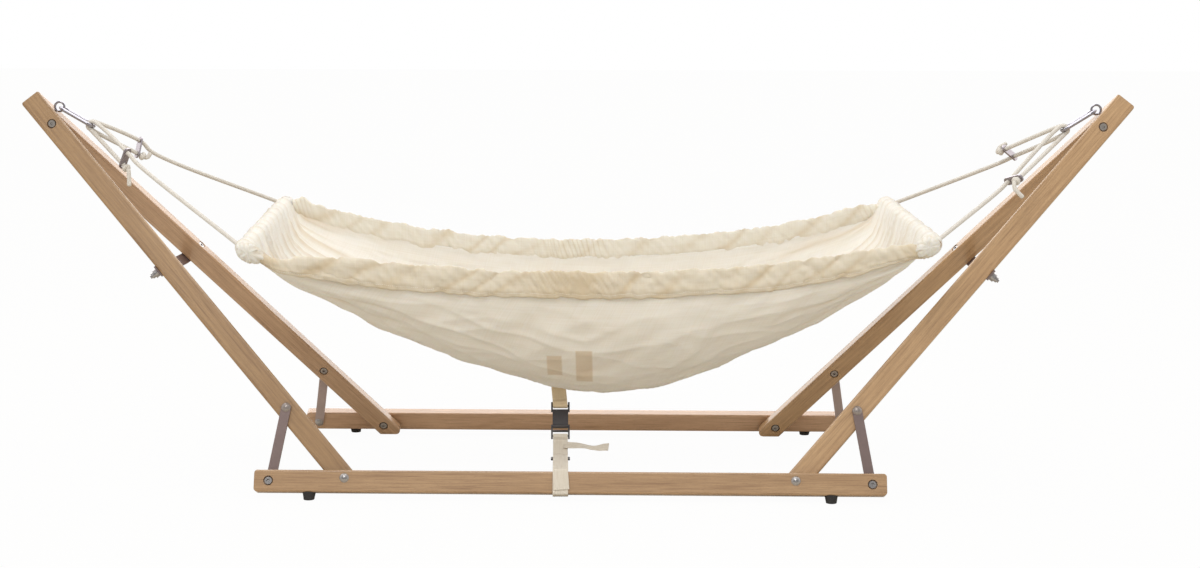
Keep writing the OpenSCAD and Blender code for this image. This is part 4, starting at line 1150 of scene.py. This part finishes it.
def bag_rings(side):
    """Rings of a bag, each as inward, up and out, and the painted shade deep in its folds."""
    outline = closed_curve(BAGS[side], SPOKES)
    angle = np.arctan2(outline[:, 1] - BAG_MIDDLE[1], outline[:, 0] - BAG_MIDDLE[0])
    plain = BAR_ROUND * np.stack([np.cos(angle), np.sin(angle)], 1)
    freely = step(-0.9, 0.2, np.cos(angle))
    rings, deep = [], []
    for out, share, scale in BAG_RINGS:
        turned = angle * 14 + (1 - scale) * 14 + share * 8
        pleats = (ridges(turned, 11, 30.0 + side, 1.6)
                  + 0.6 * ridges(turned * 1.1, 5.3, 35.0 + side, 1.5))
        ring = plain + (BAG_MIDDLE + (outline - BAG_MIDDLE) * scale - plain) * share
        dents = rough_field(ring[:, 0] + out * 0.6, ring[:, 1] - out * 0.5, 0.1, 0.12,
                            90.0 + side, 3)
        dents = np.maximum(0.5 - 2.4 * np.abs(dents), -0.4)
        ripple = (pleats * (0.3 + 1.6 * share * scale) * freely
                  + dents * 2.4 * share * min(1.0, scale * 1.5) * (0.4 + 0.6 * freely))
        ring = ring + units(ring - BAG_MIDDLE) * ripple[:, None]
        rings.append((ring[:, 0], ring[:, 1],
                      out + dents * 2.6 * share * (1.4 - scale) * scale ** 0.5))
        # painted shade deep in the pleats and dents
        deep.append((np.clip(0.1 - pleats, 0, 1) * freely + np.clip(0.1 - dents, 0, 1))
                    * share * scale)
    return rings, deep


print("rings of a bag:", len(bag_rings(-1)[0]))

# %% [markdown]
# Both kinds of end become a mesh in the same way. The cut of the cloth is taken from the
# finished surface: as wide as its first ring is round, and as long as its rings run, on average.

# %% Closed ends of the bars
END_WALL = 1.0 * MM


def bar_end(side, end):
    """Cloth over an end of a bar. side is -1 at the left bar, and end is -1 in front."""
    centre, length, inner, up = bar_frame(side)
    rings, deep = pucker_rings(side) if end > 0 else bag_rings(side)
    grid = np.array([centre + end * length * out[:, None] * MM
                     + (a[:, None] * inner + b[:, None] * up) * MM for a, b, out in rings])
    which = "left" if side < 0 else "right"
    name = "bar_end_" + which + ("_front" if end < 0 else "_back")
    wide = float(np.linalg.norm(np.diff(grid[0], axis=0), axis=1).sum())
    down = float(np.linalg.norm(np.diff(grid, axis=0), axis=2).sum(axis=0).mean())
    flat = laid_flat(np.linspace(0, wide, SPOKES + 1)[None, :],
                     np.linspace(0, down, len(rings))[:, None])
    mesh = skin(name, grid, flat, closed=True, fold=np.array(deep))
    piece = add_object(name, mesh, bed_cloth, "hammock")
    thicken(piece, END_WALL)


for side in (-1, 1):
    for end in (-1, 1):
        bar_end(side, end)

# %% [markdown]
# Along each long edge the cloth is folded over and gathered into a soft band, fuller at its
# top fold than at the seam below. It is a hollow tube of cloth, open at both ends. Small
# wrinkles cross it, closer together than the folds of the bed, and broad folds lie over to
# one side. The front band is thick and loose. The back one is thinner and smoother, and at
# its left end it curls up. One table holds the numbers that differ between the two.

# %% Wrinkles of the side bands
BAND_H = 42 * MM
BAND_T = 9 * MM
BAND_END = 1 - 6.5 * MM / BED_END
BAND_ROWS = 760
BAND_ROUND = 32
SEAM_AT = -0.70
# thin and lower are pairs: at the left end of the band, and at its right end
# band_painted_shade paints the whole front band darker and more golden, as painted shade
BANDS = {
    -1: dict(thin=(0.62, 0.5), lower=(11 * MM, -4 * MM), drawn=150 * MM, full=1.0, large=3.9,
             band_painted_shade=1, soft=4.4 * MM, crumple=2.0 * MM, seam=-0.1, wave=1.5 * MM, curl=0.0),
    1: dict(thin=(0.3, 0.3), lower=(0.0, 0.0), drawn=50 * MM, full=0.6, large=1.5,
            band_painted_shade=0, soft=1.6 * MM, crumple=1.0 * MM, seam=-0.35, wave=0.6 * MM, curl=12 * MM)}


def band_wrinkles(kind, slant, high, seed, gathered, strong):
    """Wrinkles across a band, in millimetres, and the painted shade of each point: deep in a
    wrinkle, and all over the front band.
    """
    small = ridges(slant, 9.5 * MM, seed + 1)
    middling = ridges(slant * 1.02 + 0.5 * high, 24 * MM, seed + 2)
    large = ridges(slant * 0.97 - 1.7 * high, 66 * MM, seed + 6, 1.3)
    wrinkle = (small * (0.35 + 1.5 * gathered) + middling * 1.6
               + large * kind["large"] * np.clip(strong, 0.2, 1.5))
    # painted shade: deep in the wrinkles, and over the whole front band, most where it is gathered
    deep = (np.clip(-small, 0, 1) * 0.9 * gathered + np.clip(-large, 0, 1) * 0.9 * strong
            + kind["band_painted_shade"] * (0.45 + 0.4 * gathered))
    return wrinkle, deep


print("kinds of band:", len(BANDS))

# %% [markdown]
# The band's section is a narrow oval that leans over and is pinched at its seam. Towards the
# ends it grows lower and puffs out, as gathered cloth does where it is sewn fast. Its top
# fold has a crest of its own, so that its outline against the cloth behind isn't straight.

# %% Shape of the side bands


def band_grid(y_side, seed):
    """Points of a band along one edge of the bed, and the painted shade of each point."""
    kind = BANDS[y_side]
    s = np.linspace(-BAND_END, BAND_END, BAND_ROWS)
    angle = np.linspace(0, TURN, BAND_ROUND, endpoint=False)
    up, aside = np.sin(angle)[None, :], np.cos(angle)[None, :]
    x = along_x(s, y_side * edge_half(s))
    to_end = (BAND_END - np.abs(s)) * BED_END

    def left_bump(at, wide):
        """A rounded bump a little way in from the left end."""
        return (np.exp(-((to_end - at) / wide) ** 2) * (s < 0))[:, None]

    # the ends, and the section there and elsewhere
    puff = 1 - step(0.0, 0.06, to_end)
    drawn = 1 - step(0.0, kind["drawn"], to_end)
    thin = np.where(s < 0, *kind["thin"])
    lower = np.where(s < 0, *kind["lower"]) * step(0.0, 0.045, to_end)
    half_t = (BAND_T / 2 * (1.25 + 0.5 * wander(s, 22, seed + 5)) * kind["full"]
              + puff * 5.5 * MM)[:, None]
    half_h = (BAND_H / 2 * (1 - thin * drawn) + 1.5 * MM * wander(s, 30, seed + 8))[:, None]
    high = half_h * up
    fuller = 0.78 + 0.26 * up - 0.45 * np.exp(-((up - SEAM_AT) / 0.12) ** 2)
    thick = half_t * fuller * aside * np.sqrt(np.clip(1.05 - 0.25 * np.abs(up), 0, 2))

    # the wrinkles, which slant with the band's lean and are closer where it is gathered
    lean_in = 0.45 * high * (1 + 0.9 * wander(s, 8, seed + 12))[:, None]
    slant = x[:, None] + lean_in + 0.016 * wander(s, 9, seed + 9)[:, None]
    strong = (0.55 + 1.1 * wander(s, 7, seed + 13))[:, None]
    gathered = np.exp(-(x / (65 * MM)) ** 2)[:, None] + puff[:, None]
    wrinkle, deep = band_wrinkles(kind, slant, high, seed, gathered, strong)
    # painted shade: darker on the band's lower half, and a golden hollow near its left end
    deep = (deep + 0.25 * np.clip(-up, 0, 1)
            + 1.2 * left_bump(0.016, 0.014) * np.clip(-y_side * up + 0.3, 0, 1))
    out = (wrinkle * (0.8 + 0.3 * up) * MM * (0.6 + 0.4 * step(0.0, 0.02, to_end)[:, None])
           + rough_field(x[:, None], high, 22, 30, seed + 4, 3) * kind["soft"]
           + rough_field(x[:, None] + high, high, 75, 60, seed + 17, 2) * kind["crumple"])
    crest = (1.2 * ridges(slant, 12.5 * MM, seed + 6) + 2.0 * ridges(slant, 34 * MM, seed + 15)
             + 0.8) * MM * np.clip(up, 0, 1) ** 2

    # where the band runs, with its lower half kept clear of the bed's edge
    wave = 2.4 * wander(s, 13, seed) + 1.4 * wander(s, 37, seed + 3)
    apart = y_side * 3.5 * MM * np.clip((kind["seam"] - up) / 0.5, 0, 1)
    mid_y = y_side * (edge_half(s) + wave * kind["wave"])[:, None] + apart
    mid_z = (band_mid(s) + rise(s, y_side * edge_half(s)) + wave * 1.2 * MM
             - lower * drawn)[:, None]
    grid = np.stack([
        x[:, None] + 0 * thick,
        mid_y + y_side * (thick + out * aside),
        mid_z + high + out * 0.5 * up + crest * (1 - 0.6 * drawn * (s < 0))[:, None]
        + kind["curl"] * left_bump(0.018, 0.016) * np.clip(up + 0.3, 0, 1)], -1)
    return grid, deep


print("middle of the front edge:", bed_point(0.0, -1.0, 0.0).round(3))

# %% [markdown]
# Each band is folded double, so its flat width is twice its height, and its flat length is a
# quarter more than the length of its middle line. The grid of points is kept, for the seam's
# stitches.

# %% Side bands


def side_band(name, y_side, seed):
    """A band as a piece of cloth, and the points that it was made from."""
    grid, deep = band_grid(y_side, seed)
    girth = np.linspace(0, 1, BAND_ROUND + 1) * 2 * BAND_H
    run_along = lengths(grid.mean(axis=1)) * 1.25
    mesh = skin(name, grid, laid_flat(girth[None, :], run_along[:, None]), closed=True,
                fold=deep)
    piece = add_object(name, mesh, band_cloth, "hammock")
    thicken(piece, END_WALL)
    return piece, grid


band_front, front_grid = side_band("band_front_cloth", -1, 60.0)
band_back, back_grid = side_band("band_back_cloth", 1, 80.0)
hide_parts("band_front")
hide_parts("band_back")

# %% [markdown]
# The strap hangs under the bed and goes round the front floor rail. Its places are worked out
# as in the model: the rail's from the lean of the front side frame, the buckle's from its
# upper end and its lean, and the bed's underside from the rules of the trough.

# %% Places of the strap
WEB_W = 25 * MM
WEB_T = 1.4 * MM
STRAP_X = -15 * MM
STRAP_TURN = math.radians(2.3)
# Sizes of the side frame, the same as in the model, in millimetres.
LEG_REACH, TOP_DROP, PIVOT_RISE = 805, 15, 5
LEG_THICK, LINK_THICK, RAIL_THICK = 19, 4, 19
RAIL_U = (TOP_DROP + LEG_REACH * math.sin(RAKE) + PIVOT_RISE) * MM
RAIL_N = (LEG_THICK + LINK_THICK + RAIL_THICK / 2) * MM
RAIL_W, RAIL_T, FOOT_H = 36 * MM, RAIL_THICK * MM, 10 * MM
APEX = (RAIL_U + RAIL_W / 2) * math.cos(LEAN) - RAIL_N * math.sin(LEAN) + FOOT_H
SOCKET_TOP = (-28 * MM, 109 * MM)
BUCKLE_LEAN = math.radians(34)
PLUG_BAR = 56 * MM
SLIDER = (-136 * MM, 40 * MM)


def side_yz(u, n):
    """Place in the front side frame: u down it from its apex, n outward."""
    return (-(u * math.sin(LEAN) + n * math.cos(LEAN)),
            APEX - u * math.cos(LEAN) + n * math.sin(LEAN))


RAIL_Y = side_yz(RAIL_U, RAIL_N)[0]


def round_rail(u, n, out):
    """A corner of the rail, moved outward: u is -1 or 1 along its width, n on its thickness."""
    return side_yz(RAIL_U + u * (RAIL_W / 2 + out), RAIL_N + n * (RAIL_T / 2 + out))


def on_buckle(y, z):
    """Place on the leaning buckle, from its upper end."""
    c, s = math.cos(BUCKLE_LEAN), math.sin(BUCKLE_LEAN)
    return (SOCKET_TOP[0] + y * c + z * s, SOCKET_TOP[1] - y * s + z * c)


def bed_under(y):
    """How high the bed is above the strap."""
    s = (STRAP_X - (-12 * MM - RAIL_Y) * math.tan(STRAP_TURN) - BAR_MID) / BED_END
    t = math.asin(y / BED_HALF) / (math.pi / 2)
    return float(bed_point(np.array(s), np.array(t), 0.0)[2])


def in_strap(points):
    """From the strap's own plane to the object: x across it, then y and z."""
    x, y, z = points[..., 0], points[..., 1] - RAIL_Y, points[..., 2]
    c, s = math.cos(STRAP_TURN), math.sin(STRAP_TURN)
    return np.stack([STRAP_X + c * x - s * y, RAIL_Y + s * x + c * y, z], -1)


print("the rail is at y", round(RAIL_Y, 3), "and the bed at z", round(bed_under(0), 3))

# %% [markdown]
# Straps are flat webbing, 25 mm wide. A path is drawn from the side and every corner of it
# is rounded, because webbing doesn't crease. A section with rounded edges and faint rows of
# yarn then runs along the path, with its width in a direction given for each point.

# %% Webbing helpers
CORNER_R = 2.2 * MM
LANES = np.linspace(-1, 1, 13)


def rounded(points, radius):
    """The path with every corner rounded."""
    p = [np.array(q, float) for q in points]
    out = [p[0]]
    for a, b, c in zip(p, p[1:], p[2:]):
        into, onward = b - a, c - b
        la, lb = np.linalg.norm(into), np.linalg.norm(onward)
        bend = math.acos(max(-1, min(1, float(into @ onward) / (la * lb))))
        back = min(radius * math.tan(min(bend, 2.9) / 2), 0.48 * la, 0.48 * lb)
        one, two = b - into / la * back, b + onward / lb * back
        for h in np.linspace(0, 1, 7):
            out.append((1 - h) ** 2 * one + 2 * h * (1 - h) * b + h * h * two)
    out.append(p[-1])
    return even(np.array(out), 1.2 * MM)


def web_section():
    """Outline of the webbing's section: across it, and up from its middle."""
    half, t2 = WEB_W / 2, WEB_T / 2
    face = [(l * (half - 0.4 * MM), t2 * (1.0 - 0.12 * math.cos(l * 19))) for l in LANES]
    return np.array(face + [(half, 0.45 * t2), (half, -0.45 * t2)]
                    + [(a, -b) for a, b in face[::-1]]
                    + [(-half, -0.45 * t2), (-half, 0.45 * t2)])


def strip(name, middle, wide, body, finish=webbing):
    """Webbing along middle, with its width along the directions in wide."""
    tangent = units(np.gradient(middle, axis=0))
    wide = units(wide - (wide * tangent).sum(1)[:, None] * tangent)
    up = np.cross(wide, tangent)
    section = web_section()
    grid = (middle[:, None] + section[None, :, :1] * wide[:, None]
            + section[None, :, 1:] * up[:, None])
    over_web = np.append(section[:, 0], section[0, 0]) + WEB_W / 2
    flat = laid_flat(over_web[None, :], lengths(middle)[:, None])
    mesh = skin(name, grid, flat, closed=True, ends=True)
    work = bmesh.new()
    work.from_mesh(mesh)
    bmesh.ops.recalc_face_normals(work, faces=work.faces)
    work.to_mesh(mesh)
    work.free()
    piece = add_object(name, mesh, finish, body)
    return piece


def side_strip(name, yz, body, aside=None, finish=webbing):
    """Webbing whose path is drawn from the side. aside says how far over it is, by height."""
    path = rounded(yz, CORNER_R)
    over_to = np.interp(path[:, 1], *aside) if aside else np.zeros(len(path))
    middle = in_strap(np.column_stack([over_to, path]))
    ahead = in_strap(np.array([(1.0, 0, 0)])) - in_strap(np.array([(0.0, 0, 0)]))
    return strip(name, middle, np.repeat(ahead, len(path), axis=0), body, finish)


print("points of the webbing's section:", len(web_section()))

# %% [markdown]
# The upper strap is sewn under the bed and loops through the buckle's upper bar. The bed
# swings and the buckle stays with the stand; this piece rides on neither of them.

# %% Upper strap
BAR = 3.05 * MM
upper = side_strip("strap_upper_web", [
    (3 * MM, bed_under(3 * MM)), (-10 * MM, bed_under(-10 * MM)),
    (-14 * MM, bed_under(-12 * MM) - 4 * MM), on_buckle(BAR, 16 * MM), on_buckle(BAR, 0),
    on_buckle(0.8 * BAR, -BAR), on_buckle(-0.8 * BAR, -BAR), on_buckle(-BAR, 0),
    on_buckle(-BAR, 8 * MM)], None, aside=((0.108, 0.138), (0, -3 * MM)), finish=webbing_shaded)
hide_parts("strap_upper")
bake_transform(upper)
print("upper webbing:", round(float(sum(p.area for p in upper.data.polygons) / 2 / WEB_W), 3))

# %% [markdown]
# The lower strap runs from the buckle through the two slots of its slider, round the rail and
# back over the slider. A second layer lies over it from the slider on, goes over the rail's
# top edge and ends low on its front, a little to the right of the first.

# %% Lower strap
LADDER = 2.55 * MM
RIB, SLOT, PLATE = 3 * MM, 4 * MM, 2.5 * MM
CLEAR = 0.1 * MM
sy, sz = SLIDER
half_long = SLOT + 1.5 * RIB
slot_at = (SLOT + RIB) / 2
slot_in, slot_out = slot_at - 1.1 * MM, slot_at + 1.1 * MM
under = sz - PLATE / 2 - CLEAR - WEB_T / 2
over = sz + PLATE / 2 + CLEAR + WEB_T / 2
second = over + WEB_T + CLEAR
third = second + WEB_T + CLEAR
loop_1 = 0.3 * MM + WEB_W / 2 * math.tan(STRAP_TURN) + WEB_T / 2
loop_2 = loop_1 + WEB_T + CLEAR
lower = side_strip("strap_lower_web", [
    on_buckle(-LADDER, -PLUG_BAR + 3 * MM), on_buckle(-LADDER, -PLUG_BAR),
    on_buckle(-0.8 * LADDER, -PLUG_BAR - LADDER), on_buckle(LADDER, -PLUG_BAR - LADDER - 4 * MM),
    (-80 * MM, 46 * MM), (-98 * MM, 39.5 * MM), (sy + half_long + 4 * MM, under),
    (sy + slot_out, under), (sy + slot_in, over), (sy - slot_in, over), (sy - slot_out, under),
    (sy - half_long - 2 * MM, under), round_rail(1, -1, loop_1), round_rail(1, 1, loop_1),
    round_rail(-1, 1, loop_1), round_rail(-1, -1, loop_1), (sy - half_long - 12 * MM, second),
    (sy - half_long, second), (sy + 3 * MM, second)], "stand")
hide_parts("strap_lower")
top, foot = (np.array(round_rail(u, 1, loop_2)) for u in (-1, 1))
side_strip("strap_flap_web", [
    (sy + 3 * MM, third), (sy - half_long - 12 * MM, third), round_rail(-1, -1, loop_2),
    tuple(top), tuple(foot + (top - foot) * 0.2)], "stand", aside=((0.012, 0.045), (2.5 * MM, 0)))
print("lower webbing:", round(float(sum(p.area for p in lower.data.polygons) / 2 / WEB_W), 3), "m")

# %% [markdown]
# The free end of the webbing comes out of the buckle's lower bar and stands out to the right.
# It twists on its way, so the camera sees its face, then its edge, and then its folded tip.

# %% Free end of the strap
tail_points = np.array([
    (6, -74, 50.5), (16, -74.5, 49.8), (30, -75, 49.4), (42, -76, 48.0), (54, -78, 46.0),
    (64, -80, 46.5), (74, -82, 48.0), (82, -83, 48.5)]) * MM
tail_path = curve_through(tail_points, 1.2 * MM)
share = lengths(tail_path) / lengths(tail_path)[-1]
roll = np.radians(np.interp(share, (0, 0.25, 0.5, 0.7, 0.82, 1), (12, 10, 1, 3, 12, 17)))
wide = np.stack([0 * roll, -np.cos(roll), -np.sin(roll)], -1)
strip("strap_tail_web", in_strap(tail_path), wide, "stand")
print("tail:", round(float(lengths(tail_path)[-1]), 3), "m")

# %% [markdown]
# A seam is a row of short stitches. Geometry Nodes make them: the tree takes lines, puts a
# point every few millimetres, and sets a small thread on each point, turned along the line.

# %% Tree of nodes for stitches
STITCH = {"Spacing": 3.4 * MM, "Length": 2.6 * MM, "Thickness": 0.7 * MM}


def stitch_tree():
    """Geometry Nodes that turn lines into rows of stitches."""
    made = bpy.data.node_groups.new("stitching", "GeometryNodeTree")
    face = made.interface
    face.new_socket("Geometry", in_out="INPUT", socket_type="NodeSocketGeometry")
    for name, value in STITCH.items():
        socket = face.new_socket(name, in_out="INPUT", socket_type="NodeSocketFloat")
        socket.default_value = value
    face.new_socket("Thread", in_out="INPUT", socket_type="NodeSocketMaterial")
    face.new_socket("Geometry", in_out="OUTPUT", socket_type="NodeSocketGeometry")

    def put(kind, links=None, **settings):
        """A node of the tree, with its settings, and its inputs linked or set."""
        node = made.nodes.new(kind)
        for key, value in settings.items():
            setattr(node, key, value)
        for key, value in (links or {}).items():
            if isinstance(value, bpy.types.NodeSocket):
                made.links.new(value, node.inputs[key])
            else:
                node.inputs[key].default_value = value
        return node

    start = put("NodeGroupInput").outputs
    lines = put("GeometryNodeMeshToCurve", {0: start["Geometry"]})
    evenly = put("GeometryNodeResampleCurve", {0: lines.outputs[0], "Length": start["Spacing"]},
                 mode="LENGTH")
    ball = put("GeometryNodeMeshUVSphere", {"Segments": 6, "Rings": 4, "Radius": 0.5})
    size = put("ShaderNodeCombineXYZ",
               {0: start["Length"], 1: start["Thickness"], 2: start["Thickness"]})
    thread = put("GeometryNodeTransform", {0: ball.outputs[0], "Scale": size.outputs[0]})
    heading = put("GeometryNodeInputTangent")
    aimed = put("FunctionNodeAlignRotationToVector", {"Vector": heading.outputs[0]}, axis="X")
    placed = put("GeometryNodeInstanceOnPoints",
                 {"Points": evenly.outputs[0], "Instance": thread.outputs[0],
                  "Rotation": aimed.outputs[0]})
    real = put("GeometryNodeRealizeInstances", {0: placed.outputs[0]})
    coloured = put("GeometryNodeSetMaterial", {0: real.outputs[0], "Material": start["Thread"]})
    put("NodeGroupOutput", {0: coloured.outputs[0]})
    return made


stitching = stitch_tree()
print("nodes in the tree:", len(stitching.nodes))

# %% [markdown]
# The tree then works on the seams of the two bands. Their lines are taken from the finished
# cloth, a hair above it, where each band is pinched, on both of its faces. What the tree
# makes is kept as a plain mesh.

# %% Stitches
LIFT = 0.8 * MM


def stitches(name, lines, body):
    """Stitches along lines of points, as one plain mesh."""
    mesh = bpy.data.meshes.new(name + "_lines")
    verts, edges = [], []
    for line in lines:
        start = len(verts)
        verts += [tuple(p) for p in line]
        edges += [(start + i, start + i + 1) for i in range(len(line) - 1)]
    mesh.from_pydata(verts, edges, [])
    source = bpy.data.objects.new(name + "_lines", mesh)
    bpy.context.scene.collection.objects.link(source)
    tool = source.modifiers.new("stitching", "NODES")
    tool.node_group = stitching
    for socket in stitching.interface.items_tree:
        if socket.name == "Thread":
            tool[socket.identifier] = thread_white
    bpy.context.view_layer.update()
    finished = source.evaluated_get(bpy.context.evaluated_depsgraph_get())
    done = bpy.data.meshes.new_from_object(finished)
    bpy.data.objects.remove(source)
    done.name = name
    done.materials.clear()
    piece = add_object(name, done, thread_white, body)
    print(name, "faces:", len(done.polygons))


def seam_column(turn):
    """Which column of a band's grid lies at a turn round it."""
    return int(round(turn / TURN * BAND_ROUND)) % BAND_ROUND


outer_seam = seam_column(math.asin(SEAM_AT) % TURN)
inner_seam = seam_column(math.pi - math.asin(SEAM_AT))
lines = []
for grid, y_side in ((front_grid, -1), (back_grid, 1)):
    for column, outward in ((outer_seam, 1), (inner_seam, -1)):
        line = grid[3:-3, column].copy()
        line[:, 1] += y_side * outward * LIFT
        lines.append(line)
stitches("band_stitches", lines, "hammock")
